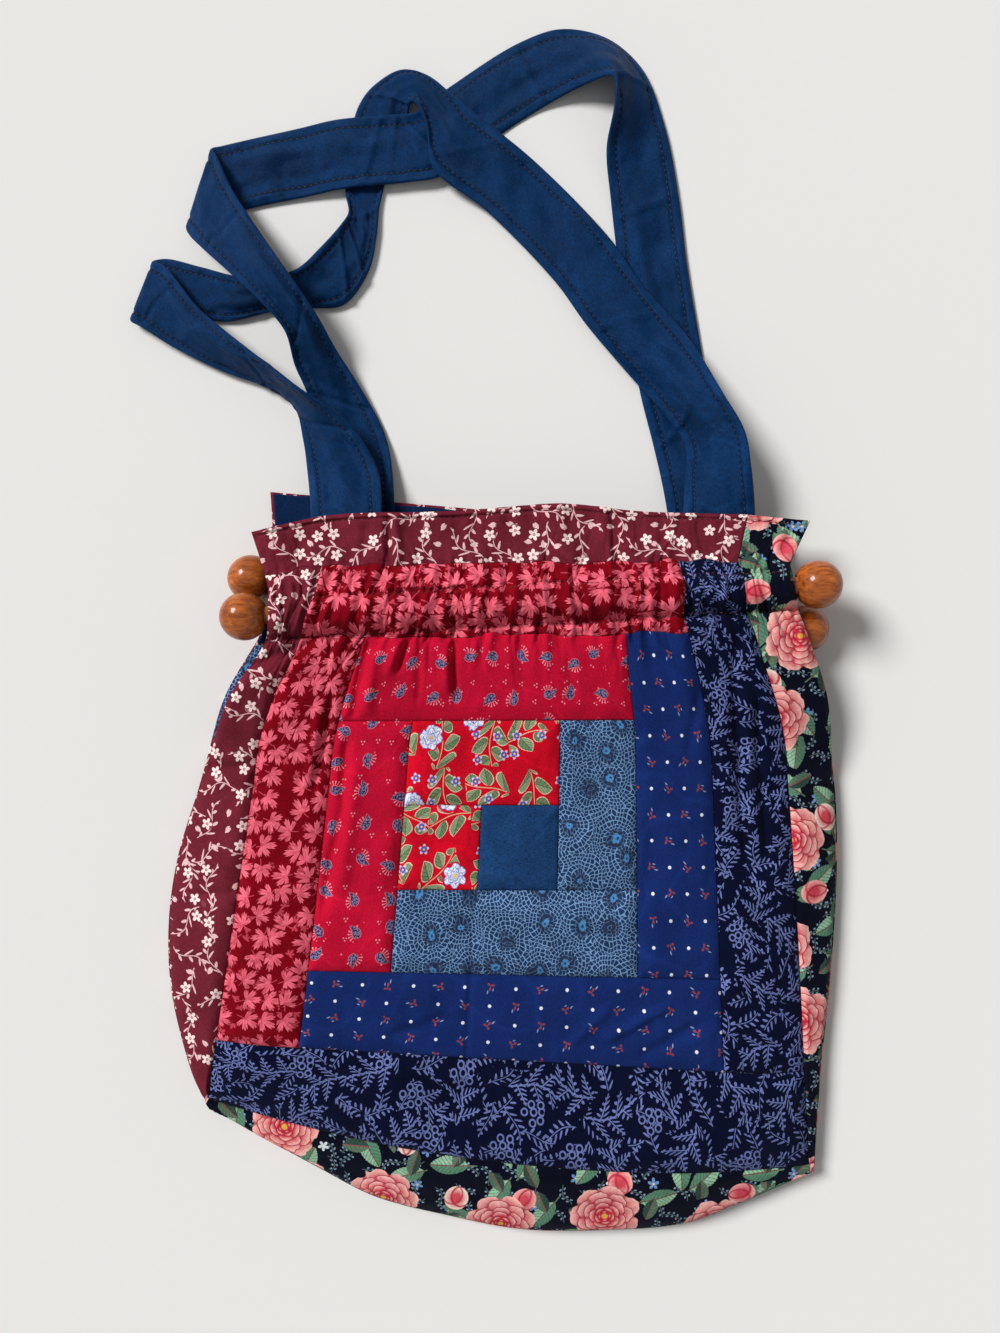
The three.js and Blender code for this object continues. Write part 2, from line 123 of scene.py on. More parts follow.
def fromRod(x, y, side):
    (midX, midY), (c, s) = rods[side]["mid"], rodWay(side)
    return (y - midY) * c - (x - midX) * s


def casingHalf(distance):
    share = np.minimum(1, np.abs(distance) / rods["casingHalf"])
    return casingRise * (1 - smooth(rods["casingFlat"], 1, share))


outline = dict(
    hemLeft=(-170.5, -139), hemRight=(159.5, -174.5), sideShares=(0.012, 0.925), hemShares=(0.03, 0.97),
    sewnLeft=[(-180, -119), (-190, -79), (-192, -42), (-187, -4), (-174, 39)],
    sewnRight=[(163, -120), (168, -70), (171.5, -12), (170, 39)],
    hem=[
        (-145, -154), (-114, -170.5), (-80, -188), (-42, -198), (0, -206), (45, -206.5), (88, -203),
        (121, -191),
    ],
)
openEdges = dict(
    front=dict(
        roll=0, rowLean=0.012,
        left=[(-156, 83), (-138, 109), alongRod(-casingEnd, "front"), (-136, 153)],
        right=[(163, 83), (150, 119), alongRod(casingEnd, "front"), (141.5, 161)],
        top=[(-143, 172), (-101, 181), (-38, 183), (20, 187), (64, 183), (120, 181), (152, 178)],
    ),
    back=dict(
        roll=1.5, rowLean=-0.085,
        left=[(-164, 83), (-142, 120), alongRod(-casingEnd, "back"), (-136, 172)],
        right=[(163, 83), (148, 102), alongRod(casingEnd, "back"), (145, 145)],
        top=[(-138, 197), (-90, 193), (-20, 187), (60, 178), (120, 171), (148, 168)],
    ),
)


def curveThrough(points):  # points along a spline, with the share of its length at each
    p = np.array(points, float)
    held = np.vstack([p[:1], p, p[-1:]])
    t = np.linspace(0, 1, 60, endpoint=False)[:, None]
    rows = []
    for a, b, c, d in zip(held, held[1:], held[2:], held[3:]):
        v0, v1 = (c - a) / 2, (d - b) / 2
        square, cube = 3 * c - 3 * b - 2 * v0 - v1, 2 * b - 2 * c + v0 + v1
        rows.append(cube * t ** 3 + square * t ** 2 + v0 * t + b)
    line = np.vstack(rows + [p[-1:]])
    run = runAlong(line)
    return line, run / run[-1]


def curveAt(curve, share):
    line, run = curve
    return np.stack([np.interp(share, run, line[:, 0]), np.interp(share, run, line[:, 1])], -1)


def rolled(points, distance):
    p = np.array(points, float).reshape(-1, 2)
    return p + distance * p / np.linalg.norm(p, axis=1)[:, None]


def makePanel(roll, rowLean, left, right, top):
    corners = rolled([outline["hemLeft"], outline["hemRight"]], roll)
    edges = dict(
        left=[corners[:1], rolled(outline["sewnLeft"], roll), left, top[:1]],
        right=[corners[1:], rolled(outline["sewnRight"], roll), right, top[-1:]],
        top=[top],
        bottom=[corners[:1], rolled(outline["hem"], roll), corners[1:]],
    )
    return dict(rowLean=rowLean, **{name: curveThrough(np.vstack(parts)) for name, parts in edges.items()})


panels = {side: makePanel(**edges) for side, edges in openEdges.items()}


def shareSide(row):  # share of a side's length that a row of the block reaches
    return mix(*outline["sideShares"], (row + blockHalf) / (2 * blockHalf))


def spot(panel, i, j):  # plan place of any point of a panel: the block, and a strip out to the outline
    inI, inJ = np.clip(i, -blockHalf, blockHalf), np.clip(j, -blockHalf, blockHalf)
    out = np.clip(np.abs(i) - blockHalf, 0, None)[..., None]
    up = np.clip(np.abs(j) - blockHalf, 0, None)[..., None]
    leftward, downward = (i < 0)[..., None], (j < 0)[..., None]
    side = np.where(leftward, *(curveAt(panel[n], shareSide(inJ)) for n in ("left", "right")))
    low = curveAt(panel["bottom"], mix(*outline["hemShares"], (inI + blockHalf) / (2 * blockHalf)))
    end = np.where(downward, low, curveAt(panel["top"], (inI + panelHalf) / (2 * panelHalf)))
    corner = np.where(leftward, *(np.where(downward, *panel[n][0][[0, -1]]) for n in ("left", "right")))
    return mix(mix(blockSpot(inI, inJ, panel["rowLean"]), side, out), mix(end, corner, out), up)


body = dict(
    seam=8, seamGap=0.2, crown=20, sewnTop=45, quilt=4, seamThick=1.4, facingStart=2.2, sag=3,
    frontRise=-95, backRise=-75, run=dict(front=50, back=30), batch=4000,
)
shares = np.linspace(0, 1, 120)
sewnEdge = np.vstack([curveAt(panels["front"][n], shares) for n in ("left", "right", "bottom")])
sewnEdge = sewnEdge[sewnEdge[:, 1] < body["sewnTop"]]


def domeShare(x, y, side):  # 0 at the sewn edge of the bag, 1 a run away from it
    flat = np.stack([np.ravel(x), np.ravel(y)], -1)
    near = np.concatenate([
        np.sqrt(((part[:, None] - sewnEdge[None]) ** 2).sum(-1)).min(1)
        for part in np.array_split(flat, max(1, len(flat) // body["batch"]))
    ])
    return np.sin(np.minimum(1, near / body["run"][side]) * math.pi / 2).reshape(np.shape(x))


def casingMiddle(side, d):  # height of the middle of a casing and its header, at a distance from the rod
    axis, half, past = rods[side]["axis"], rods["casingHalf"], smooth(0, rods["reach"], d)
    if side == "front":
        under = mix(body["crown"], axis - body["sag"], smooth(body["frontRise"], -half, d))
        return np.where(d < 0, under + body["sag"] * smooth(-half, 0, d), axis - rods["droop"] * past)
    under = mix(body["quilt"] + rods["gap"] / 2, axis, smooth(body["backRise"], 0, d))
    return np.where(d < 0, under, mix(axis, rods["backHeader"], past))


def panelInner(side, x, y):  # height of a panel's face towards the inside
    d, way = fromRod(x, y, side), 1 if side == "front" else -1
    crown = casingMiddle(side, d) + way * (casingHalf(d) + rods["gap"] / 2)
    return mix(body["seam"] + way * body["seamGap"], crown, domeShare(x, y, side))


def facingInner(side, x, y):  # height of a facing's face towards the inside
    d, way = fromRod(x, y, side), 1 if side == "front" else -1
    return casingMiddle(side, d) - way * (casingHalf(d) + rods["gap"] / 2 + rods["cloth"])


print("shape ready")


def feed(made, inputs):  # wires or plain values into a node's sockets
    for key, value in dict(inputs).items():
        if isinstance(value, Wire):
            Wire.tree.links.new(value.socket, made.inputs[key])
        else:
            made.inputs[key].default_value = value


def node(kind, inputs=(), out=0, **settings):
    made = Wire.tree.nodes.new("ShaderNode" + kind)
    for key, value in settings.items():
        setattr(made, key, value)
    feed(made, inputs)
    return Wire(made.outputs[out])


class Wire:  # a node socket that takes arithmetic
    tree = None

    def __init__(self, socket):
        self.socket = socket

    def also(self, out):
        return Wire(self.socket.node.outputs[out])

    def op(self, operation, *others):
        return node("Math", enumerate((self, *others)), operation=operation)

    def __add__(self, other):
        return self.op("ADD", other)

    def __sub__(self, other):
        return self.op("SUBTRACT", other)

    def __rsub__(self, other):
        return node("Math", enumerate((other, self)), operation="SUBTRACT")

    def __mul__(self, other):
        return self.op("MULTIPLY", other)

    def __truediv__(self, other):
        return self.op("DIVIDE", other)

    def __pow__(self, other):
        return self.op("POWER", other)

    def __abs__(self):
        return self.op("ABSOLUTE")

    def inside(self, soft):  # 1 where the value is above 0, with a soft edge
        ends = {0: self, 1: -soft, 2: soft, 3: 0.0, 4: 1.0}
        return node("MapRange", ends, interpolation_type="SMOOTHSTEP")


def tone(red, green, blue):  # a screen colour, 0 to 255, as a linear one
    def linear(value):
        c = value / 255
        return c / 12.92 if c <= 0.04045 else ((c + 0.055) / 1.055) ** 2.4
    return (linear(red), linear(green), linear(blue), 1.0)


def paint(under, mask, colour):
    return node("Mix", {0: mask, 6: under, 7: colour}, 2, data_type="RGBA")


def shade(colour, factor):  # brighter or darker by a varying factor
    grey = node("CombineColor", {0: factor, 1: factor, 2: factor})
    inputs = {0: 1.0, 6: colour, 7: grey}
    return node("Mix", inputs, 2, data_type="RGBA", blend_type="MULTIPLY")


def both(x, y):
    return node("CombineXYZ", {0: x, 1: y})


def blur(x, y, size, detail):  # noise of a given grain, 0 to 1
    inputs = {"Vector": both(x / size, y / size), "Scale": 1.0, "Detail": detail}
    return node("TexNoise", inputs, noise_dimensions="2D")


def mottled(colour, x, y, size, detail, swing):
    return shade(colour, blur(x, y, size, detail) * swing + (1 - swing / 2))


def cells(x, y, size, jitter, shift, feature="F1"):  # x and y from a scattered place, three random values
    u, v = x / size + shift, y / size + shift * 0.7
    inputs = {"Vector": both(u, v), "Scale": 1.0, "Randomness": jitter}
    place = node("TexVoronoi", inputs, "Position", voronoi_dimensions="2D", feature=feature)
    px = node("SeparateXYZ", {0: place})
    chance = node("SeparateColor", {0: place.also("Color")})
    return (u - px) * size, (v - px.also(1)) * size, chance, chance.also(1), chance.also(2)


def border(x, y, size, jitter, shift):  # distance from the line between two scattered places
    inputs = {"Vector": both(x / size + shift, y / size + shift * 0.7), "Scale": 1.0, "Randomness": jitter}
    feature = "DISTANCE_TO_EDGE"
    return node("TexVoronoi", inputs, voronoi_dimensions="2D", feature=feature) * size


def turned(x, y, angle):
    if isinstance(angle, Wire):
        c, s = angle.op("COSINE"), angle.op("SINE")
    else:
        c, s = math.cos(angle), math.sin(angle)
    return x * c + y * s, y * c - x * s


def scattered(x, y, *scatter):  # cells that are each turned their own way, with two random values
    dx, dy, a, b, c = cells(x, y, *scatter)
    return *turned(dx, dy, a * fullTurn), b, c


def wavy(x, y, chance, rate, rise):  # y from a wavy line along x
    return y + (x * rate + chance * 6).op("SINE") * rise


def length(x, y):
    return (x * x + y * y).op("SQRT")


def positive(value):
    return value.op("MAXIMUM", 0.0)


def over(chance, share):  # a yes or no from a random value
    return (chance - share).inside(0.01)


def disc(x, y, radius, soft):
    return (radius - length(x, y)).inside(soft)


def stroke(value, half, soft):  # a line where the value is 0
    return (half - abs(value)).inside(soft)


def union(masks):
    first, *others = masks
    for mask in others:
        first = first.op("MAXIMUM", mask)
    return first


def repeat(value, pitch):  # signed distance from the nearest of evenly spaced lines
    return ((value / pitch).op("FRACT") - 0.5) * pitch


def spray(x, y, half, pitch, reach, width, slant, point=0.6):  # leaves: depth inside, share along, rib
    side = abs(y)
    t = side / (positive(1 - x * x / half ** 2) * reach + 0.01)
    rib = repeat(x - side * slant + y.op("SIGN") * (pitch / 4), pitch)
    depth = positive(t * (1 - t) * 4) ** point * width - abs(rib)
    return depth, t, rib


def stemLine(x, y, half, thick):
    return stroke(y, thick, 0.12) * stroke(x, half, 0.3)


def frond(x, y, half, pitch, reach, width, slant, stem, gap):  # the gap is a share of a leaflet's length
    depth, t, _ = spray(x, y, half, pitch, reach, width, slant)
    leaflets = depth.inside(0.12) * (1 - t).inside(0.04) * (t - gap).inside(0.03)
    return leaflets.op("MAXIMUM", stemLine(x, y, half, stem))


def bracken(x, y, half, pitch, reach, slant, leaf):  # a stem with branches, each with its own leaflets
    side = abs(y)
    lean = math.hypot(1, slant)
    room = positive(1 - x * x / half ** 2) * reach * lean
    u = side * lean
    v = repeat(x - side * slant + y.op("SIGN") * (pitch / 4), pitch) / lean
    t = abs(v) / (positive(1 - u / (room + 0.01)) ** 0.6 * leaf["reach"] + 0.01)
    rib = repeat(u - abs(v) * 0.8, leaf["pitch"])
    leaflet = (positive(t * (1 - t) * 4) ** 0.6 * leaf["width"] - abs(rib)).inside(0.12)
    leaflet = leaflet * (1 - t).inside(0.04) * (t - 0.18).inside(0.03)
    branch = stroke(v, leaf["stem"], 0.1)
    shown = leaflet.op("MAXIMUM", branch) * (room - u).inside(0.2)
    return shown.op("MAXIMUM", stemLine(x, y, half, leaf["stem"] * 1.3)), (room + 1.5 - u).inside(0.5)


def petals(x, y, radius, count, turn, deep):
    angle = y.op("ARCTAN2", x) + turn * fullTurn
    reach = (abs((angle * (count / 2)).op("COSINE")) * deep + (1 - deep)) * radius
    return (reach - length(x, y)).inside(0.15)


def blade(x, y, half, width):  # pointed leaf along x: its depth inside the edge
    return (1 - x * x / half ** 2) * width - abs(y)


def woven(colour, x, y):  # plain cloth with uneven threads both ways
    slub = blur(x, y * 5, 2.4, 3.0)
    cross = blur(x * 5, y, 2.4, 3.0)
    return shade(colour, slub * 1.2 + cross + blur(x, y, 7, 3.0) * 0.35 - 0.275)


def drawSolid(x, y):
    return woven(tone(27, 61, 105), x, y)


def drawFacing(x, y):
    return woven(tone(14, 38, 75), x, y)


# the last value is how far in from each edge of the strap the painted highlight reaches
strapCloth = dict(width=38, stitchIn=5.6, litRim=5.0)


def drawStrap(x, y):  # the edges lie outside two lines of stitching; the rims outside them get a painted highlight and each stitch line a painted shade
    half = strapCloth["width"] / 2
    edge = half - abs(y - half)
    # painted highlight: the rims are painted lighter, as where pressed edges catch the light, and the rest of
    # the strap a little darker
    litRim = (strapCloth["litRim"] - edge).inside(0.8)
    # painted shade: a dark line painted along each line of stitching, where its groove lies
    sewn = stroke(edge - strapCloth["stitchIn"], 0.75, 0.4)
    return shade(shade(woven(tone(5, 45, 87), x, y), litRim * 0.1 + 0.95), 1 - sewn * 0.5)


def drawVine(x, y):
    ground, cream = tone(110, 33, 47), tone(234, 190, 192)
    colour = mottled(ground, x, y, 9, 3.0, 0.24)
    sprigs = []
    for feature in ("F1", "F2"):
        ax, ay, b, _ = scattered(x, y, 19, 0.6, 0.3, feature)
        bent = wavy(ax, ay, b, 0.28, 2.4)
        sprigs.append(frond(ax, bent, 12.0, 5.6, 4.0, 0.82, 0.8, 0.25, 0.12))
    colour = paint(colour, union(sprigs), cream)
    bx, by, b, _ = scattered(x, y, 9.5, 0.8, 4.4)
    bud = blade(bx, by, 2.2, 1.0).op("MAXIMUM", blade(bx - 0.6, by - 1.1, 1.6, 0.7))
    colour = paint(colour, bud.inside(0.12) * over(b, 0.62), cream)
    fx, fy, a, b, _ = cells(x, y, 13.0, 0.8, 7.3)
    show = over(b, 0.3)
    around = disc(fx, fy, 3.6, 0.2) * show
    colour = paint(colour, around * 0.8, ground)
    flower = petals(fx, fy, 3.2, 5, a, 0.6) * show
    eye = disc(fx, fy, 0.75, 0.15) * (length(fx, fy) - 0.3).inside(0.1)
    colour = paint(colour, flower, tone(250, 224, 220))
    return paint(colour, flower * eye, tone(150, 70, 80))


def palmate(x, y, radius):  # a lobed leaf with notched tips, pointing along x: depth inside and a rib mask
    start = x + radius * 0.42
    around = abs(y.op("ARCTAN2", start)) + 0.4
    lobe = (around / 0.8).op("FLOOR")
    off = abs(repeat(around, 0.8))
    long = (1 - lobe * 0.16) * (radius * 1.42)
    r = length(start, y)
    reach = (1 - off * 1.9).op("MAXIMUM", 0.92 - abs(off - 0.19) * 2.9).op("MAXIMUM", 0.36)
    depth = (reach * long - r).op("MINIMUM", 2.5 - lobe)
    return depth, (0.15 - off * r).inside(0.1) * (long * 0.8 - r).inside(0.3)


def drawLeaf(x, y):
    colour = mottled(tone(124, 3, 20), x, y, 5, 2.0, 0.4)
    scatter = (12.4, 0.6, 0.9)
    lx, ly, *_ = scattered(x, y, *scatter)
    stem = stemLine(lx + 7, ly + lx * lx * 0.02, 5.0, 0.24)
    colour = paint(colour, stem, tone(198, 70, 90))
    depth, rib = palmate(lx + 0.6, ly, 6.7)
    apart = (border(x, y, *scatter) - 0.3).inside(0.2)
    leaf = depth.inside(0.2) * apart
    coral = paint(tone(246, 112, 132), (blur(x, y, 3.4, 1.0) - 0.56).inside(0.1) * 0.8, tone(202, 82, 98))
    coral = paint(coral, ly.inside(0.7) * 0.3, tone(206, 72, 92))
    coral = paint(coral, rib * 0.5, tone(196, 58, 80))
    colour = paint(colour, leaf, coral)
    sx, sy, b, _ = scattered(x, y, 8.2, 0.8, 4.1)
    small = palmate(sx, sy, 2.7)[0].inside(0.2) * (-1.0 - depth).inside(0.3) * over(b, 0.35)
    return paint(colour, small * 0.85, tone(204, 72, 92))


def drawPaisley(x, y):
    ground = tone(194, 15, 50)
    colour = shade(ground, blur(x * 6, y, 3, 3.0) * 0.22 + blur(x, y * 6, 3, 3.0) * 0.22 + 0.78)
    dx, dy, *_, c = cells(x, y, 9.6, 0.35, 2.2)
    fold = repeat(dy.op("ARCTAN2", dx), thirdTurn)
    r = length(dx, dy)
    tiny = disc(r * fold.op("COSINE") - 1.0, r * fold.op("SINE"), 0.44, 0.14)
    colour = paint(colour, tiny * over(c, 0.35), tone(238, 146, 164))
    ax, ay, *_ = scattered(x, y, 18.0, 0.3, 0.4)
    colour = paint(colour, disc(ax, ay, 6.2, 0.2), ground)
    head = length(ax + 1.5, ay)
    around = ay.op("ARCTAN2", ax + 1.5)
    t = (ax + 4.0) / 8.0
    middle = positive(ax + 0.4) ** 2.0 * 0.15
    near = positive(t * (1 - t) ** 1.5) ** 0.5 * 5.2 - abs(ay - middle)
    along = t.inside(0.02) * (1 - t).inside(0.02)
    fringe = stroke(around, 2.6, 0.1) * (ay + 1.4).inside(0.4)
    rays = stroke(repeat(around, 0.4), 0.055, 0.03)
    lash = rays * (head - 2.6).inside(0.2) * (4.5 - head).inside(0.2) * (-0.3 - near * along).inside(0.1)
    tips = disc(repeat(around, 0.4) * 4.5, head - 4.6, 0.42, 0.14)
    colour = paint(colour, lash.op("MAXIMUM", tips) * fringe, tone(242, 150, 166))
    colour = paint(colour, (near + 0.38).inside(0.1) * along, tone(226, 116, 136))
    colour = paint(colour, near.inside(0.12) * along, tone(62, 42, 80))
    speck = (blur(x, y, 1.0, 1.0) - 0.5).inside(0.05)
    return paint(colour, (near - 0.35).inside(0.12) * along * speck, tone(132, 128, 164))


def drawFloral(x, y):
    ground = tone(206, 10, 36)
    colour = mottled(ground, x, y, 7, 2.0, 0.2)
    scatter = (26, 0.4, 1.7)
    lx, ly, b, _ = scattered(x, y, *scatter)
    bent = wavy(lx, ly, b, 0.16, 1.6)
    colour = paint(colour, stemLine(lx, bent, 13.5, 0.26), tone(222, 184, 146))
    depth, t, rib = spray(lx, bent, 15.5, 9.8, 11.6, 4.4, 0.6, 1.15)
    depth = depth - abs(repeat(t * 9, 1.0)) * 0.5
    held = (1 - t).inside(0.03) * (t - 0.12).inside(0.03) * (border(x, y, *scatter) - 0.3).inside(0.2)
    colour = paint(colour, depth.inside(0.15) * held, tone(234, 208, 178))
    green = (depth - 0.5).inside(0.15) * held
    leaf = paint(tone(112, 134, 96), rib.inside(0.5) * 0.75, tone(156, 170, 132))
    vein = repeat(t * 10 - abs(rib) * 0.9, 1.9)
    leaf = paint(leaf, stroke(vein, 0.24, 0.12) * 0.7, tone(70, 102, 70))
    leaf = paint(leaf, stroke(rib, 0.2, 0.08), tone(62, 94, 64))
    colour = paint(colour, green, leaf)
    sx, sy, a, b, _ = cells(x, y, 12, 0.8, 5.6)
    star = petals(sx, sy, 3.0, 5, a, 0.65) * over(b, 0.6)
    colour = paint(colour, star, tone(222, 204, 230))
    colour = paint(colour, star * disc(sx, sy, 1.8, 0.2), tone(84, 92, 184))
    colour = paint(colour, star * disc(sx, sy, 0.6, 0.15), tone(236, 200, 120))
    fx, fy, a, *_ = cells(x, y, 44, 0.6, 3.35)
    fx, fy = fx + (blur(x, y, 4, 1.0) - 0.5) * 3, fy + (blur(x + 30, y, 4, 1.0) - 0.5) * 3
    r = length(fx, fy)
    angle = fy.op("ARCTAN2", fx)
    colour = paint(colour, (7.6 - r).inside(0.2), ground)
    for ring, count, start in ((6.6, 6, 0.0), (4.4, 5, 0.4), (2.6, 4, 0.1)):
        lobe = abs(repeat(angle / fullTurn * count + a + start, 1.0)) * 2
        depth = ring - lobe * lobe * (ring * 0.22) - r
        pale = paint(tone(240, 242, 248), (lobe - 0.55).inside(0.25) * 0.7, tone(168, 182, 226))
        line = (0.35 - abs(lobe - 0.3) * r).inside(0.15) * (2.0 - depth).inside(0.3)
        pale = paint(pale, line * 0.6, tone(108, 124, 200))
        colour = paint(colour, (depth + 0.35).inside(0.15), tone(78, 92, 178))
        colour = paint(colour, depth.inside(0.15), pale)
    return paint(colour, (1.2 - r).inside(0.2), tone(226, 186, 118))


def drawCrackle(x, y):  # rings of small cells around each flower, meeting half way
    wx = x + (blur(x, y, 9, 1.0) - 0.5) * 5
    wy = y + (blur(x + 50, y, 9, 1.0) - 0.5) * 5
    colour = mottled(tone(32, 54, 90), x, y, 12, 2.0, 0.3)
    pitch = 2.15
    scatter = (21, 0.7, 2.9)
    sx, sy, a, b, c = cells(wx, wy, *scatter)
    ring = length(sx, sy) / pitch
    level = ring.op("FLOOR")
    count = (level * fullTurn + 3.14).op("ROUND")
    share = (sy.op("ARCTAN2", sx) / fullTurn * count + level * 0.37).op("FRACT")
    fromRing = 0.5 - abs(ring.op("FRACT") - 0.5)
    fromRay = (0.5 - abs(share - 0.5)) * (ring * fullTurn / count)
    net = fromRing.op("SMOOTH_MIN", fromRay, 0.12).op("MINIMUM", border(wx, wy, *scatter) / pitch + 0.06)
    colour = paint(colour, (0.088 - net).inside(0.06), tone(120, 156, 198))
    ax, ay = turned(sx, sy, a * fullTurn)
    r = length(ax, ay)
    colour = paint(colour, (5.2 - r).inside(0.3) * 0.6, tone(36, 58, 94))
    spread = abs(repeat(ay.op("ARCTAN2", ax), 0.785)) * r
    dash = (0.4 - spread).inside(0.15) * (r - 2.3).inside(0.2) * (4.4 - r).inside(0.3)
    colour = paint(colour, dash, tone(44, 46, 66))
    curl = abs(length(ax - 3.4, ay * 1.2) - 4.4)
    colour = paint(colour, (0.42 - curl).inside(0.15) * (6.6 - r).inside(0.4), tone(40, 42, 60))
    colour = paint(colour, petals(ax, ay, 2.2, 6, b, 0.3) * over(c, 0.3), tone(72, 136, 192))
    return paint(colour, (0.7 - r).inside(0.15), tone(44, 66, 106))


def drawDot(x, y):
    colour = mottled(tone(20, 41, 100), x, y, 1.2, 2.0, 0.3)
    wide, high = 14, 9.7
    u, v = x / wide, y / high
    column, row = u.op("FLOOR"), v.op("FLOOR")
    odd = (column + row).op("FLOORED_MODULO", 2.0)
    lx, ly = (u - column - 0.5) * wide, (v - row - 0.5) * high
    dot = disc(lx, ly, 0.9, 0.2) * (1 - odd)
    colour = paint(colour, dot, tone(238, 240, 248))
    flip = (column * 1.7 + row * 2.9).op("SINE") * 6
    ax, ay = turned(lx, ly, flip)
    fold = repeat(ay.op("ARCTAN2", ax - 0.9), thirdTurn)
    r = length(ax - 0.9, ay)
    berry = (0.62 - length((r * fold.op("COSINE") - 1.45) * 0.8, r * fold.op("SINE"))).inside(0.16)
    colour = paint(colour, stemLine(ax - 0.2, ay, 1.8, 0.18) * odd, tone(150, 84, 84))
    colour = paint(colour, berry * odd, tone(144, 64, 66))
    twig = blade(ax + 2.4, ay - 1.0, 1.2, 0.36).op("MAXIMUM", blade(ax + 0.6, ay + 1.7, 0.9, 0.3))
    return paint(colour, twig.inside(0.12) * odd, tone(136, 150, 186))


fernLeaf = dict(reach=3.5, pitch=2.9, width=0.6, stem=0.26)


def drawFern(x, y):
    ground = tone(6, 12, 38)
    colour = mottled(ground, x, y, 8, 2.0, 0.5)
    blue = mottled(tone(106, 118, 174), x, y, 10, 1.0, 0.4)
    small = []
    for feature in ("F1", "F2"):
        ax, ay, b, _ = scattered(x, y, 13, 0.6, 6.2, feature)
        bent = wavy(ax, ay, b, 0.22, 1.9)
        small.append(frond(ax, bent, 9.5, 3.1, 4.0, 0.62, 0.6, 0.22, 0.22))
    colour = paint(colour, union(small), blue)
    ax, ay, b, _ = scattered(x, y, 27, 0.6, 1.1)
    bent = wavy(ax, ay, b, 0.16, 2.6)
    shown, clear = bracken(ax, bent, 15.0, 8.4, 10.4, 0.7, fernLeaf)
    colour = paint(colour, clear, ground)
    colour = paint(colour, shown, blue)
    gx, gy, *_, c = cells(x, y, 29, 0.8, 9.4)
    bx, by, *_ = cells(gx, gy, 4.1, 0.45, 0.3)
    inCluster = disc(gx - bx, gy - by, 5.6, 0.02) * over(c, 0.45)
    r = length(bx, by)
    colour = paint(colour, (2.1 - r).inside(0.2) * inCluster, ground)
    return paint(colour, stroke(r - 1.55, 0.4, 0.12) * inCluster, blue)


def serrated(x, y, half, width):  # a toothed leaf along x
    tooth = abs(repeat(x - abs(y), 1.9)) * 0.45
    return positive(1 - x * x / half ** 2) ** 0.8 * width - abs(y) - tooth


def drawRoseLeaf(colour, x, y, half, width, pale):
    depth = serrated(x, y, half, width).inside(0.15)
    light, dark = tone(92, 120, 96), tone(48, 70, 62)
    if pale:
        light, dark = tone(150, 190, 158), tone(92, 136, 110)
    green = paint(light, y.inside(0.8), dark)
    rib = repeat(x - abs(y) * 0.85, 2.3)
    green = paint(green, stroke(rib, 0.22, 0.12) * 0.75, tone(58, 92, 76))
    green = paint(green, stroke(y, 0.3, 0.12), tone(112, 70, 66) if pale else tone(140, 84, 84))
    return paint(colour, depth, green)


roseRings = [  # reach, petals, start
    (19.0, 7, 0.0), (15.2, 7, 0.4), (11.6, 6, 0.15), (8.2, 5, 0.6), (5.2, 5, 0.2), (3.0, 4, 0.3),
]


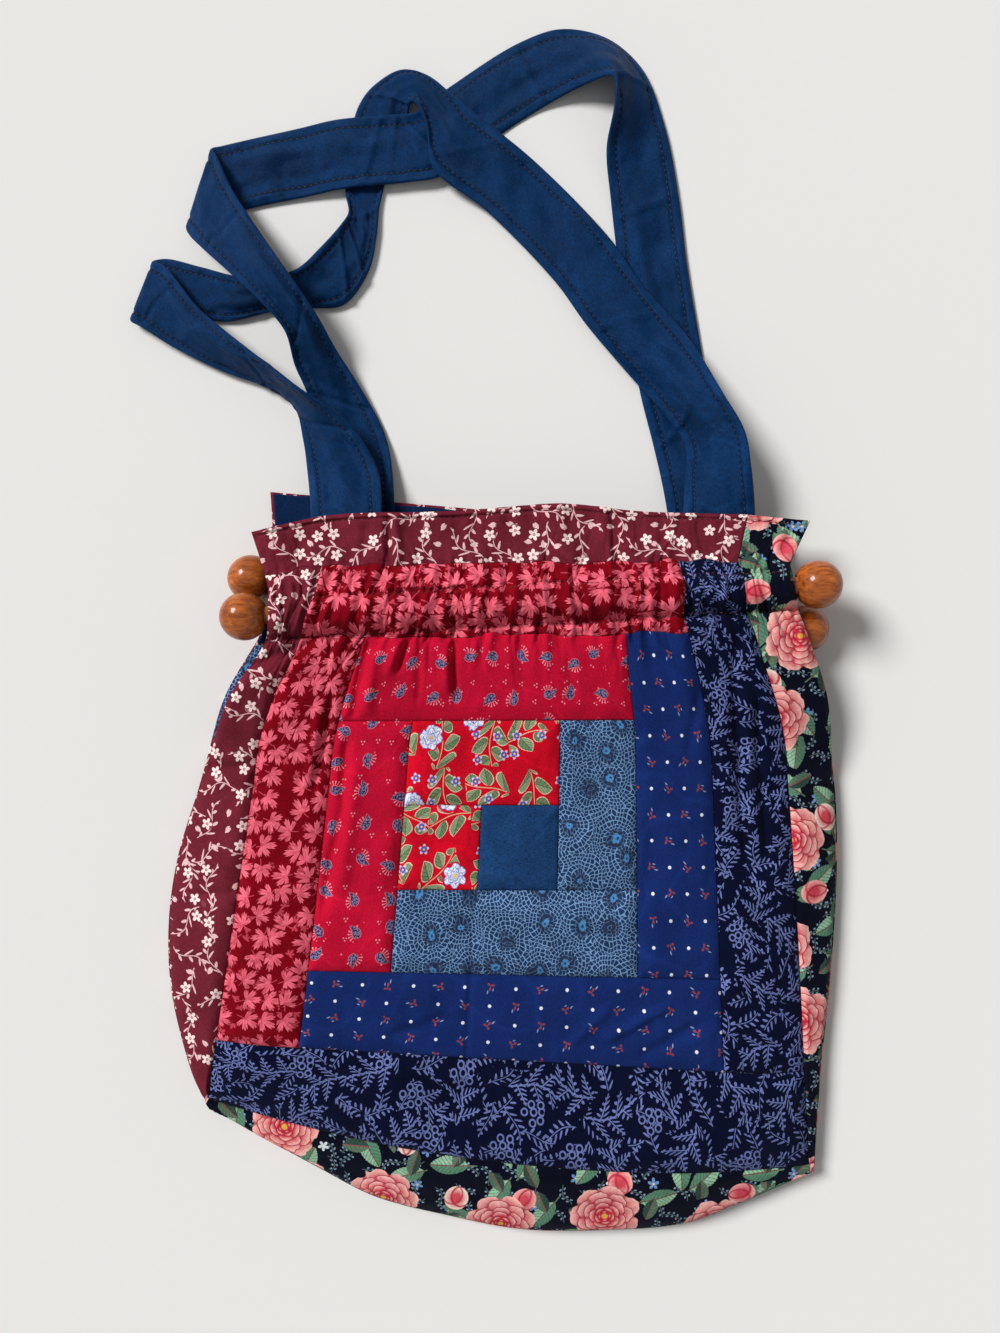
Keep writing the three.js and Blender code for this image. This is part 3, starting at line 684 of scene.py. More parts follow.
def drawRose(x, y):
    stalk = tone(96, 120, 96)
    colour = mottled(tone(7, 10, 26), x, y, 12, 2.0, 0.5)
    ax, ay, b, _ = scattered(x, y, 12.5, 0.7, 3.9)
    bent = wavy(ax, ay, b, 0.5, 1.2)
    twig = stemLine(ax, bent, 6.5, 0.22)
    beads = disc(repeat(ax, 2.6), abs(bent) - 1.2, 0.62, 0.15) * stroke(ax, 5.5, 0.2)
    colour = paint(colour, twig, tone(92, 112, 108))
    colour = paint(colour, beads, tone(128, 152, 176))
    fx, fy, a, b, c = cells(x, y, 16, 0.8, 8.2)
    tiny = petals(fx, fy, 3.1, 5, a, 0.72) * over(b, 0.55)
    colour = paint(colour, tiny, paint(tone(112, 146, 196), (c - 0.6).inside(0.02), tone(216, 222, 228)))
    colour = paint(colour, tiny * disc(fx, fy, 0.6, 0.15), tone(230, 210, 140))
    lx, ly, *_ = scattered(x, y, 24, 0.7, 5.3)
    colour = paint(colour, stemLine(lx + 9, ly, 6, 0.34), stalk)
    colour = drawRoseLeaf(colour, lx, ly, 10.5, 5.2, True)
    kx, ky = turned(lx + 6, ly + 5.5, 1.0)
    colour = drawRoseLeaf(colour, kx, ky, 7.5, 3.9, False)
    bx, by, b, c = scattered(x, y, 37, 0.6, 2.75)
    show = over(b, 0.25)
    colour = paint(colour, stemLine(bx + 12, by + bx * 0.1, 7, 0.4) * show, stalk)
    calyx = union([blade(bx + 5.2, by + s, 4.6, 2.2) for s in (-2.6, 0.0, 2.6)])
    colour = paint(colour, calyx.inside(0.2) * show, tone(88, 126, 100))
    bud = 6.4 - length(bx * 0.84, by)
    rind = paint(tone(250, 176, 172), over(c, 0.5), tone(253, 226, 212))
    pink = paint(tone(214, 74, 90), node("MapRange", {0: bud, 1: 4.0, 2: 0.0}), rind)
    for wrap, mood in ((2.2, 0.9), (-2.6, 0.7)):
        turnIn = 5.6 - length(bx * 0.8 - 1.5, by + wrap)
        pink = paint(pink, stroke(turnIn - 0.4, 0.5, 0.3) * mood, tone(176, 40, 60))
    colour = paint(colour, bud.inside(0.2) * show, pink)
    rx, ry, a, *_ = cells(x, y, 57, 0.5, 0.55)
    r = length(rx, ry)
    angle = ry.op("ARCTAN2", rx) + a * fullTurn
    wave = (blur(x, y, 5, 1.0) - 0.5) * 2.6
    for ring, count, start in roseRings:
        lobe = abs(repeat(angle / fullTurn * count + start, 1.0)) * 2
        depth = ring - lobe * lobe * (ring * 0.15) + wave * (ring / 16) - r
        lit = node("MapRange", {0: depth + lobe * 1.4, 1: 0.0, 2: ring * 0.34})
        coral = paint(tone(254, 196, 186), lit, tone(202, 50, 70))
        coral = paint(coral, (lobe - 0.82).inside(0.14) * 0.75, tone(172, 38, 58))
        if ring < roseRings[0][0]:
            colour = paint(colour, (depth + 0.5).inside(0.25), tone(156, 30, 50))
        colour = paint(colour, depth.inside(0.2), coral)
    return paint(colour, (1.5 - r + wave * 0.3).inside(0.4), tone(228, 176, 72))


def openMaterial(name):  # wires made after this go into its node tree
    material = bpy.data.materials.new(name)
    material.use_nodes = True
    Wire.tree = material.node_tree
    return material, Wire.tree.nodes["Principled BSDF"]


def clothMaterial(name, draw, rough, gloss=0.04):
    material, shader = openMaterial(name)
    x = node("SeparateXYZ", {0: node("UVMap", uv_map="cloth")})
    y = x.also(1)
    weave = (x * 11.4).op("SINE") * (y * 11.4).op("SINE")
    pile = blur(x, y, 1.3, 3.0)
    worn = blur(x, y, 26, 2.0)
    faded = stroke(blur(x, y, 64, 1.0) - 0.47, 0.012, 0.012)
    height = weave * 0.5 + pile * 1.4
    feed(shader, {
        "Base Color": shade(draw(x, y), worn * 0.5 + weave * 0.07 + pile * 0.6 + faded * 0.16 + 0.43),
        "Normal": node("Bump", {"Strength": 0.5, "Distance": 0.00025, "Height": height}),
        "Roughness": pile * 0.1 + (rough - 0.05),
        "Specular IOR Level": gloss, "Sheen Weight": 0.02, "Sheen Roughness": 0.5,
    })
    return material


prints = {
    name: clothMaterial(name, draw, *finish) for name, draw, *finish in (
        ("navy_solid", drawSolid, 0.84), ("facing_navy", drawFacing, 0.84),
        ("strap_navy", drawStrap, 0.4, 0.05), ("floral_red", drawFloral, 0.84),
        ("crackle_blue", drawCrackle, 0.84), ("paisley_red", drawPaisley, 0.82),
        ("dot_navy", drawDot, 0.84), ("leaf_red", drawLeaf, 0.84), ("fern_navy", drawFern, 0.86),
        ("vine_burgundy", drawVine, 0.84), ("rose_navy", drawRose, 0.84),
    )
}
print("prints ready")


def grainNoise(place, stretch, scale, **inputs):  # noise, drawn out along x where a stretch is given
    if stretch:
        place = node("Mapping", {"Vector": place, "Scale": stretch})
    return node("TexNoise", {"Vector": place, "Scale": scale, **inputs})


def woodMaterial():
    material, shader = openMaterial("wood")
    place = node("TexCoord", out="Object")
    streak = grainNoise(place, (60.0, 420.0, 420.0), 1.0, Detail=4.0, Distortion=0.6)
    broad = grainNoise(place, None, 90.0, Detail=2.0)
    pore = grainNoise(place, (300.0, 2600.0, 2600.0), 1.0, Detail=2.0)
    colour = paint(tone(104, 40, 6), (streak - 0.5).inside(0.42), tone(200, 110, 44))
    colour = shade(colour, broad * 1.5 + 0.33)
    relief = streak + broad * 2
    feed(shader, {
        "Base Color": paint(colour, (pore - 0.6).inside(0.06) * 0.4, tone(58, 24, 8)),
        "Normal": node("Bump", {"Strength": 0.12, "Distance": 0.0002, "Height": relief}),
        "Roughness": streak * 0.12 + 0.24,
        "Specular IOR Level": 0.1, "Coat Weight": 0.6, "Coat IOR": 1.36, "Coat Roughness": 0.1,
    })
    return material


def threadMaterial(name, colour):
    material, shader = openMaterial(name)
    place = node("TexCoord", out="Object")
    ply = grainNoise(place, None, 2600.0, Detail=1.0)
    feed(shader, {"Base Color": shade(colour, ply * 0.8 + 0.6), "Roughness": 0.7})
    return material


wood = woodMaterial()
navyThread = threadMaterial("navy_thread", tone(8, 24, 50))
wineThread = threadMaterial("wine_thread", tone(80, 26, 36))


def makeMesh(name, points, faces, uv, material):
    mesh = bpy.data.meshes.new(name)
    mesh.from_pydata((points * mm).tolist(), [], faces.tolist())
    if uv is not None:
        layer = mesh.uv_layers.new(name="cloth")
        corner = np.zeros(len(mesh.loops), np.int32)
        mesh.loops.foreach_get("vertex_index", corner)
        layer.data.foreach_set("uv", uv[corner].astype(np.float32).ravel())
    mesh.polygons.foreach_set("use_smooth", np.ones(len(mesh.polygons), bool))
    mesh.materials.append(material)
    mesh.update()
    made = bpy.data.objects.new(name, mesh)
    bpy.context.scene.collection.objects.link(made)
    return made


def makeSlab(name, top, under, uv, material):  # a cloth with a face, a back and a rim
    a, b = top.shape[:2]
    n = np.arange(a * b).reshape(a, b)
    m = n + a * b
    upper = np.stack([n[:-1, :-1], n[1:, :-1], n[1:, 1:], n[:-1, 1:]], -1).reshape(-1, 4)
    lower = np.stack([m[:-1, :-1], m[:-1, 1:], m[1:, 1:], m[1:, :-1]], -1).reshape(-1, 4)
    rims = []
    for line in (n[:, 0], n[::-1, -1], n[0, ::-1], n[-1, :]):
        rims.append(np.stack([line[:-1], line[:-1] + a * b, line[1:] + a * b, line[1:]], -1))
    points = np.concatenate([top.reshape(-1, 3), under.reshape(-1, 3)])
    flat = np.concatenate([uv.reshape(-1, 2)] * 2)
    return makeMesh(name, points, np.vstack([upper, lower, *rims]), flat, material)


def laid(name, x, y, top, under, uv, material):  # a slab whose two faces lie over each other
    return makeSlab(name, np.dstack([x, y, top]), np.dstack([x, y, under]), uv, material)


def dress(made, bodyName, nodeName):
    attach(made, bodyName)
    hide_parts(nodeName)


folds = dict(
    seed=5, count=40, rise=2.6, width=0.062, wrinkles=170, lines=(8.0, -12.5), sink=1.9, sinkWide=1.5,
    base=1.4, hem=0.115, deep=1.4, casing=(2.6, 3.3), header=(3.2, 3.7), hemRows=(4.2, 4.3), sides=(4.3, 4.5),
    wander=1.2, past=8, flare=(0.55, 0.8), soft=(0.05, 0.1), baseSoft=0.3, startWide=1.6,
)
chance = np.random.default_rng(folds["seed"])
foldRows = [  # middle, rise, half width, reach down, reach up, drift
    (c, folds["rise"] * chance.uniform(0.4, 1.1), folds["width"] * chance.uniform(0.7, 1.5),
     chance.uniform(0.25, 0.9), chance.uniform(0.15, 0.5), chance.uniform(-0.05, 0.05))
    for c in np.linspace(-4.25, 4.25, folds["count"]) + chance.uniform(-0.1, 0.1, folds["count"])
]
wrinkles = [  # middle, stitch line it starts at, way it runs, half width, depth, length, lean
    (c, folds["lines"][int(chance.integers(2))], chance.choice([-1, 1]), chance.uniform(0.02, 0.042),
     chance.uniform(1.2, 3.4), chance.uniform(4, 14), chance.uniform(-0.012, 0.012))
    for c in chance.uniform(-4.4, 4.4, folds["wrinkles"])
]
creases = [  # from x, y to x, y, half width, rise
    (-36.5, 130.1, -34.9, 83.5, 1.6, -3.2), (-40.2, 123.2, -40.2, 88.8, 3, 2),
    (-57.1, 123.2, -65.1, 100.5, 1.8, -2.6), (-60.8, 120.6, -69.3, 98.4, 2.6, 1.6),
    (-81.5, 115.3, -89.4, 74, 2.4, -2.6), (-76.2, 110, -82.5, 77.2, 3.4, 1.6),
    (-93.1, 65, -95.8, 22.7, 2.6, -2.4), (-95.8, 25.4, -106.3, -30.2, 2.8, -1.8),
    (-87.3, 51.8, -97.3, -22.2, 5, 1.8), (-99.5, 88.8, -111.1, 35.9, 2.2, -2.2),
    (-104.7, 83.5, -116.4, 30.7, 3, 1.2), (-54, 104.7, -55, 82.5, 2, -1),
    (54.5, 119.5, 82.5, 95.2, 3, -1.2), (70.3, 115.3, 88.8, 83.5, 3, 1), (94.1, 88.8, 88.8, 51.8, 3, -0.9),
    (110.5, 115.3, 115.3, 59.7, 2.4, -2), (115.3, 65, 119.5, -6.4, 2.4, -2.2),
    (124.3, 88.8, 131.1, -6.4, 2.2, -1.8), (117.9, 94.1, 124.8, -6.4, 3, 1.4),
    (105.8, 88.8, 110, 30.7, 3, 1), (-143.9, 100.5, -107.9, 115.3, 3, -1.6),
    (-149.2, 88.8, -112.2, 103.6, 5, 1.2), (-170.3, 45.5, -143.9, 48.6, 3, -1.3),
    (-174.6, -22.2, -153.4, -20.1, 3, -1), (-167.7, 38.6, -141.2, 42.3, 4, 0.9),
    (-70.4, 178.8, -69.3, 152, 2, -2.6), (-66, 178.8, -65, 154, 2.6, 1.6),
    (-82.5, 176.1, -81.5, 160.2, 3, -0.9),
    (47.6, 186.2, 49.2, 158, 2.2, -2.2), (60.8, 186.2, 62.9, 160, 1.8, -2.2),
    (74, 183, 73, 165.5, 2.5, -0.8), (-24.9, 181.4, -23.8, 161.8, 3, -0.8),
    (9.5, 186.7, 10.6, 161.8, 3, -0.8), (-117.4, 168.2, -115.9, 149.7, 3, -1),
    (94.1, 178.8, 96.2, 157.6, 3, -0.8), (24.3, 115.3, 26.4, 83.5, 3, -0.9),
    (-1.1, 115.3, 0.5, 88.8, 3.5, -0.8),
    (43.7, -97.6, 78.5, -80.7, 2.6, 1.5), (62.2, -107.6, 96.5, -89.7, 3.4, -1.2),
    (25.3, -101.3, 47.4, -81.3, 3, 1.1), (70.1, 30.6, 67.5, -22.2, 5, -1),
    (-117.2, -106.6, -93.4, -119.8, 2.6, -1.3), (-48.6, -119.8, -1.1, -114.5, 3.4, 1.2),
    (41.1, -133, 88.6, -122.4, 3, -1.2), (104.4, -96, 141.3, -106.6, 2.6, -1.5),
    (114.9, 30.6, 141.3, 35.8, 2.6, -1.2),
    (-85, -78, -52, -92, 3, 1.1), (-70, -95, -38, -86, 3, -1), (64, 62, 92, 50, 3, 0.9),
]


def gathers(i, j, d):  # ridges across the casing, and wrinkles that run off its two lines of stitching
    total = np.zeros(np.shape(i))
    (low, high), (under, above), (flareDown, flareUp) = (folds[n] for n in ("casing", "soft", "flare"))
    for c, rise, width, down, up, drift in foldRows:
        reach = between(j, low - down, low + under, high, high + above + up)
        wide = width * (1 + flareDown * np.maximum(0, low - j) + flareUp * np.maximum(0, j - high - above))
        total += rise * reach * bell(i - c - drift * (low - j), wide)
    for c, line, way, wide, depth, long, lean in wrinkles:
        off = (d - line) * way
        reach = np.exp(-np.maximum(0, off) / long) * bell(np.minimum(0, off), folds["startWide"])
        total -= depth * reach * bell(i - c - lean * off, wide)
    for line in folds["lines"]:
        total -= folds["sink"] * bell(d - line, folds["sinkWide"])
    total += folds["base"] * between(j, low - folds["baseSoft"], low, high, high + folds["baseSoft"])
    loose = 2.4 * noise(i * 2.3, j * 0.7, 71) + 1.7 * noise(i * 6.1, j * 0.9, 72)
    total += loose * smooth(*folds["header"], j)
    fromHem = (panelHalf - folds["hem"] - j) * block["log"]
    total += (0.7 * bell(fromHem + 2.2, 1.3) - 1.2 * bell(fromHem, 1.1)) * smooth(*folds["hemRows"], j)
    return total * (1 - smooth(*folds["sides"], np.abs(i)))


def creasing(x, y):  # single folds and hollows along short lines
    total = np.zeros(np.shape(x))
    for x0, y0, x1, y1, wide, rise in creases:
        run = math.hypot(x1 - x0, y1 - y0)
        ux, uy = (x1 - x0) / run, (y1 - y0) / run
        along = (x - x0) * ux + (y - y0) * uy
        off = (x - x0) * uy - (y - y0) * ux + folds["wander"] * noise(along / 14, x * 0 + x0, 61)
        past = np.maximum(0, np.maximum(-along, along - run))
        ends = between(along, -4, 0.16 * run, 0.8 * run, run + 6)
        total += folds["deep"] * rise * ends * bell(off, wide) * bell(past, folds["past"])
    return total


quilt = dict(
    step=1.0, fineStep=0.7, backStep=2.6, ease=0.0015, run=9.5, wave=1.6, crumple=0.95, pucker=0.9,
    puckerRun=5, crease=0.53, creaseWide=0.035, creaseDeep=0.9, creaseRows=(0.45, 0.6, 2.4, 2.6), drawn=3.2,
    drawnRows=(1.9, 2.6, 4.1, 4.45), thin=0.6, thinRows=(2.2, 2.8), puff=0.8, gatherAbove=2, least=0.6,
    backLeast=0.7, floor=0.05, waveFrom=6, puckerFrom=2, creaseFrom=4,
)


def quiltFace(side, box, i, j):  # plan place of points of a quilted piece, and heights of its two faces
    i0, i1, j0, j1 = box
    at = spot(panels[side], i, j)
    drawn = between(j, *quilt["drawnRows"]) * (1 - smooth(*quilt["drawnRows"][2:], np.abs(i)))
    x = at[..., 0] + quilt["drawn"] * drawn * noise(i * 2.6, j * 2.2, 33)
    y = at[..., 1] + quilt["drawn"] * drawn * noise(i * 3.4, j * 1.6, 35)
    fromI, fromJ = np.minimum(i - i0, i1 - i) * block["log"], np.minimum(j - j0, j1 - j) * block["log"]
    inset = np.minimum(fromI, fromJ)
    thin = body["quilt"] * mix(1, quilt["thin"], smooth(*quilt["thinRows"], j))
    puff = np.sin(np.clip(inset / quilt["run"], 0, 1) * math.pi / 2) ** quilt["puff"]
    wave = quilt["wave"] * noise(x / 36, y / 44, 3) + quilt["crumple"] * noise(x / 12, y / 16, 8)
    wave = wave + quilt["crumple"] * 0.5 * noise(x / 5, y / 7, 9)
    pinch = np.exp(-fromI / quilt["puckerRun"]) * noise(y / 5.5, i0 * 3 + i * 0, 12)
    pinch = pinch + np.exp(-fromJ / quilt["puckerRun"]) * noise(x / 5.5, j0 * 3 + j * 0, 14)
    thick = mix(body["seamThick"], thin, puff)
    thick = thick + wave * smooth(0, quilt["waveFrom"], inset)
    thick = thick + quilt["pucker"] * pinch * smooth(0, quilt["puckerFrom"], inset)
    inner = panelInner(side, x, y)
    if side == "back":
        return x, y, inner, np.maximum(quilt["floor"], inner - np.maximum(quilt["backLeast"], thick))
    line = bell(i + quilt["crease"], quilt["creaseWide"]) * between(-j, *quilt["creaseRows"])
    thick = thick + creasing(x, y) * smooth(0, quilt["creaseFrom"], inset) - quilt["creaseDeep"] * line
    if j1 > quilt["gatherAbove"]:
        thick = thick + gathers(i, j, fromRod(x, y, side))
    return x, y, inner + np.maximum(quilt["least"], thick), inner


def quiltPiece(side, kind, place, slotName, box, upright, shift):
    i0, i1, j0, j1 = box
    step = quilt["fineStep"] if j1 - j0 < 1.5 and j0 > quilt["gatherAbove"] else quilt["step"]
    if side == "back":
        step = quilt["backStep"]
    lines = []
    for a, b in ((i0, i1), (j0, j1)):
        count = int(math.ceil((b - a) / (step / block["log"]))) + 1
        lines.append(np.linspace(a + quilt["ease"], b - quilt["ease"], count))
    i, j = np.meshgrid(*lines, indexing="ij")
    x, y, top, under = quiltFace(side, box, i, j)
    u, v = i * block["log"], j * block["log"]
    if upright is None:
        u, v = x, y
    elif upright:
        u, v = v, -u
    uv = np.stack([u + shift[0], v + shift[1]], -1)
    name = f"{side}_{kind}_{place}"
    made = laid(f"{name}_quilt", x, y, top, under, uv, prints[slotName])
    dress(made, "bag", name)


patches = [  # kind, place, print, whether the print runs up the strip, shift of the print
    ("center", "square", "navy_solid", False, (0, 0)),
    ("floral", "left", "floral_red", False, (3, 9)), ("floral", "top", "floral_red", False, (60, 20)),
    ("crackle", "right", "crackle_blue", True, (0, 0)),
    ("crackle", "bottom", "crackle_blue", False, (40, 70)),
    ("paisley", "left", "paisley_red", True, (20, 15)), ("paisley", "top", "paisley_red", False, (90, 5)),
    ("dot", "right", "dot_navy", True, (3, 4)), ("dot", "bottom", "dot_navy", False, (6, 2)),
    ("leaf", "left", "leaf_red", True, (30, 12)), ("leaf", "top", "leaf_red", None, (140, 60)),
    ("fern", "right", "fern_navy", True, (25, 8)), ("fern", "bottom", "fern_navy", False, (80, 90)),
    ("vine", "left", "vine_burgundy", None, (12, 40)), ("vine", "top", "vine_burgundy", None, (200, 30)),
    ("rose", "right", "rose_navy", None, (74, 33)), ("rose", "bottom", "rose_navy", None, (160, 14)),
]
backShift = 310
boxes = [(-0.5, 0.5, -0.5, 0.5)]  # in logs, the centre and then each round's left, top, right and bottom
for near in (0.5, 1.5, 2.5, 3.5):
    far = near + 1
    boxes += [(-far, -near, -near, near), (-far, near, near, far)]
    boxes += [(near, far, -near, far), (-far, far, -far, -near)]
for side, offset in (("front", 0), ("back", backShift)):
    for (kind, place, slotName, upright, shift), box in zip(patches, boxes):
        quiltPiece(side, kind, place, slotName, box, upright, (shift[0] + offset, shift[1] + offset))
    print(side, "quilt made")


stitch = dict(
    sides=6, along=(0, 0.3, 0.7, 1.0), girth=(0.35, 1, 1, 0.35), rise=(-0.9, 0.35, 0.35, -0.9),
    caps=((0, 3, 2, 1), (0, 5, 4, 3), (18, 19, 20, 21), (18, 21, 22, 23)),
)


def threads(rows, spacing, long, radius):  # points and faces of stitches along rows of (points, normals)
    points, faces = [], []
    sides, rings = stitch["sides"], len(stitch["along"])
    per = sides * rings
    angle = np.arange(sides) * 2 * math.pi / sides
    girth, rise = np.array(stitch["girth"]) * radius, np.array(stitch["rise"]) * radius
    total = 0
    for line, normal in rows:
        run = runAlong(line)
        start = np.arange(0.5 * spacing, run[-1] - spacing, spacing)
        s = start[:, None] + np.array(stitch["along"]) * long
        middle = np.stack([np.interp(s, run, line[:, k]) for k in range(3)], -1)
        up = unit(np.stack([np.interp(s, run, normal[:, k]) for k in range(3)], -1))
        ahead = unit(middle[:, -1:] - middle[:, :1]) * np.ones((1, rings, 1))
        across = unit(np.cross(up, ahead))
        middle = middle + up * rise[None, :, None]
        c, d = (way(angle)[None, None, :, None] for way in (np.cos, np.sin))
        ring = across[:, :, None] * c + up[:, :, None] * d
        spots = middle[:, :, None] + ring * girth[None, :, None, None]
        first = total + np.arange(len(start)) * per
        base = first[:, None, None] + np.arange(rings - 1)[None, :, None] * sides
        k, m = np.arange(sides), (np.arange(sides) + 1) % sides
        quads = np.stack([base + k, base + m, base + sides + m, base + sides + k], -1).reshape(-1, 4)
        caps = np.concatenate([first[:, None] + np.array(cap) for cap in stitch["caps"]])
        points.append(spots.reshape(-1, 3))
        faces += [quads, caps]
        total += len(start) * per
    return np.vstack(points), np.vstack(faces)


def threadPiece(name, rows, material, slotName, **sizes):
    points, faces = threads(rows, **sizes)
    made = makeMesh(name, points, faces, None, material)
    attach(made, "bag")
    return made


hem = dict(half=4.44, points=900, rows=(2, 4.45, 160), lift=0.12, clear=0.01, fewest=12)
hemLine = np.linspace(-hem["half"], hem["half"], hem["points"])


def casingRow(distance):  # block columns and rows along a line beside the front rod
    j = np.linspace(*hem["rows"])
    at = spot(panels["front"], *np.meshgrid(hemLine, j, indexing="ij"))
    d = fromRod(at[..., 0], at[..., 1], "front")
    return hemLine, np.array([np.interp(distance, row, j) for row in d])


def sewnRows(i, j):  # a line of stitching on the quilt, split where it passes from one piece to the next
    rows, clear = [], hem["clear"]
    for box in boxes:
        held = (i > box[0] + clear) & (i < box[1] - clear) & (j > box[2] + clear) & (j < box[3] - clear)
        if held.sum() < hem["fewest"]:
            continue
        x, y, top, _ = quiltFace("front", box, i[held], j[held])
        rows.append((np.stack([x, y, top + hem["lift"]], -1), np.tile([0.0, 0.0, 1.0], (len(x), 1))))
    return rows


sewnLines = [casingRow(d) for d in folds["lines"]] + [(hemLine, hemLine * 0 + panelHalf - folds["hem"])]
rows = [row for line in sewnLines for row in sewnRows(*line)]
name, sizes = "front_casing_stitching", dict(spacing=3.2, long=2.1, radius=0.26)
sewing = threadPiece(name, rows, wineThread, "vine_burgundy", **sizes)

facing = dict(
    ripple=1.2, rippleRows=(3.5, 4.2), edge=2.4, edgeRows=(3.9, 4.45), flat=(0.30, 0.095),
    columns=(-4.44, 4.44, 190), topRow=4.465, rows=54,
)


def facingPiece(side):
    rows = np.linspace(body["facingStart"], facing["topRow"], facing["rows"])
    i, j = np.meshgrid(np.linspace(*facing["columns"]), rows, indexing="ij")
    at = spot(panels[side], i, j)
    x, y = at[..., 0], at[..., 1]
    if side == "front":
        under = facingInner(side, x, y)
        top = under + rods["cloth"]
    else:
        wave = np.maximum(0, facing["ripple"] * noise(x / 9, y / 30, 21)) * smooth(*facing["rippleRows"], j)
        y = y + facing["edge"] * noise(i * 1.7, i * 0, 23) * smooth(*facing["edgeRows"], j)
        top = facingInner(side, x, y) + wave
        under = top - rods["cloth"]
    uv = np.stack([i * block["log"], j * block["log"]], -1)
    made = laid(f"{side}_facing_cloth", x, y, top, under, uv, prints["facing_navy"])
    dress(made, "bag", f"{side}_facing")
    sewn = [sewing] if side == "front" else []


for side in panels:
    facingPiece(side)


lining = dict(
    inset=11, hemInset=16.5, slitInset=1.6, slitRows=(0.62, 0.8), clear=1.1, slack=0.8, thick=0.8,
    crumple=0.35, flat=(0.36, 0.3), underFacing=0.026, steps=80, printShift=500,
)


def liningPiece(side):
    panel, isFront = panels[side], side == "front"
    high = body["facingStart"] - lining["underFacing"]
    u, v = np.meshgrid(*[np.linspace(0, 1, lining["steps"])] * 2, indexing="ij")
    across = mix(-panelHalf, panelHalf, u)
    left, right = (curveAt(panel[n], v * shareSide(high)) for n in ("left", "right"))
    low, top = curveAt(panel["bottom"], u), spot(panel, across, across * 0 + high)
    s, t = u[..., None], v[..., None]
    corners = mix(mix(low[0, 0], low[-1, 0], s), mix(top[0, 0], top[-1, 0], s), t)
    at = mix(left, right, s) + mix(low, top, t) - corners
    slit = smooth(*lining["slitRows"], v) * (not isFront)
    x = at[..., 0] + mix(lining["inset"], lining["slitInset"], slit) * mix(1, -1, u)
    y = at[..., 1] + lining["hemInset"] * (1 - v)
    slack = lining["slack"] * (1 - domeShare(x, y, side))
    crumple = np.maximum(0, lining["crumple"] * noise(x / 18, y / 22, 31))
    if isFront:
        upper = panelInner(side, x, y) - lining["clear"] - slack - crumple
        lower = upper - lining["thick"]
    else:
        lower = panelInner(side, x, y) + lining["clear"] + slack / 2 + crumple
        upper = lower + lining["thick"]
    uv = np.stack([x, y], -1) + lining["printShift"]
    made = laid(f"{side}_lining_cloth", x, y, upper, lower, uv, prints["crackle_blue"])
    dress(made, "bag", f"{side}_lining")


for side in panels:
    liningPiece(side)
print("facings and linings made")

strap = dict(
    strapCloth, thick=2.2, lapGap=0.6, lift=0.75, floor=0.3, perStation=16, across=32, groove=0.68,
    rolled=1.1, rimShare=0.25, even=0.6, creaseWide=1.5, ridgeEnd=0.04, calm=8, calmOver=11, reliefFrom=4,
    seed=dict(front=41, back=47), printShift=700, grooveWide=0.9, rimRipple=(4.5, 4),
    ripples=[(2.2, 2.6, 1 / 30, 21), (2.4, 4.6, -1 / 70, 40), (0.8, 7, 0, 5)],  # rise, across, slant, length
    creases=[  # share of the length, slant across, depth
        (0.11, 0.5, 1.3), (0.17, -0.6, 1.1), (0.26, 0.3, 1.3), (0.345, 0.9, 1.2), (0.43, -0.4, 1.4),
        (0.445, -0.3, 1.0), (0.47, 0.5, 1.2), (0.56, 0.2, 1.3), (0.64, -0.8, 1.0), (0.73, 0.4, 1.3),
        (0.81, -0.3, 1.2), (0.89, 0.6, 1.3),
    ],
    ridges=[  # strap, from and to a share of its length, place across, half width across, rise
        ("back", 0.09, 0.25, 0.64, 0.15, 4.0), ("back", 0.09, 0.24, 0.3, 0.1, -1.5),
        ("front", 0.16, 0.26, 0.7, 0.12, 3.0), ("back", 0.52, 0.62, 0.4, 0.12, 1.6),
        ("back", 0.7, 0.86, 0.35, 0.12, -1.4), ("front", 0.7, 0.84, 0.6, 0.14, -1.6),
        ("front", 0.8, 0.96, 0.2, 0.1, 2.6), ("front", 0.82, 0.97, 0.52, 0.14, -2.4),
        ("front", 0.84, 0.97, 0.8, 0.1, 1.8), ("back", 0.3, 0.42, 0.3, 0.1, 1.8),
        ("back", 0.28, 0.44, 0.68, 0.12, -1.6),
        ("front", 0.03, 0.13, 0.45, 0.12, 2.4), ("front", 0.03, 0.13, 0.75, 0.1, -1.6),
    ],
)
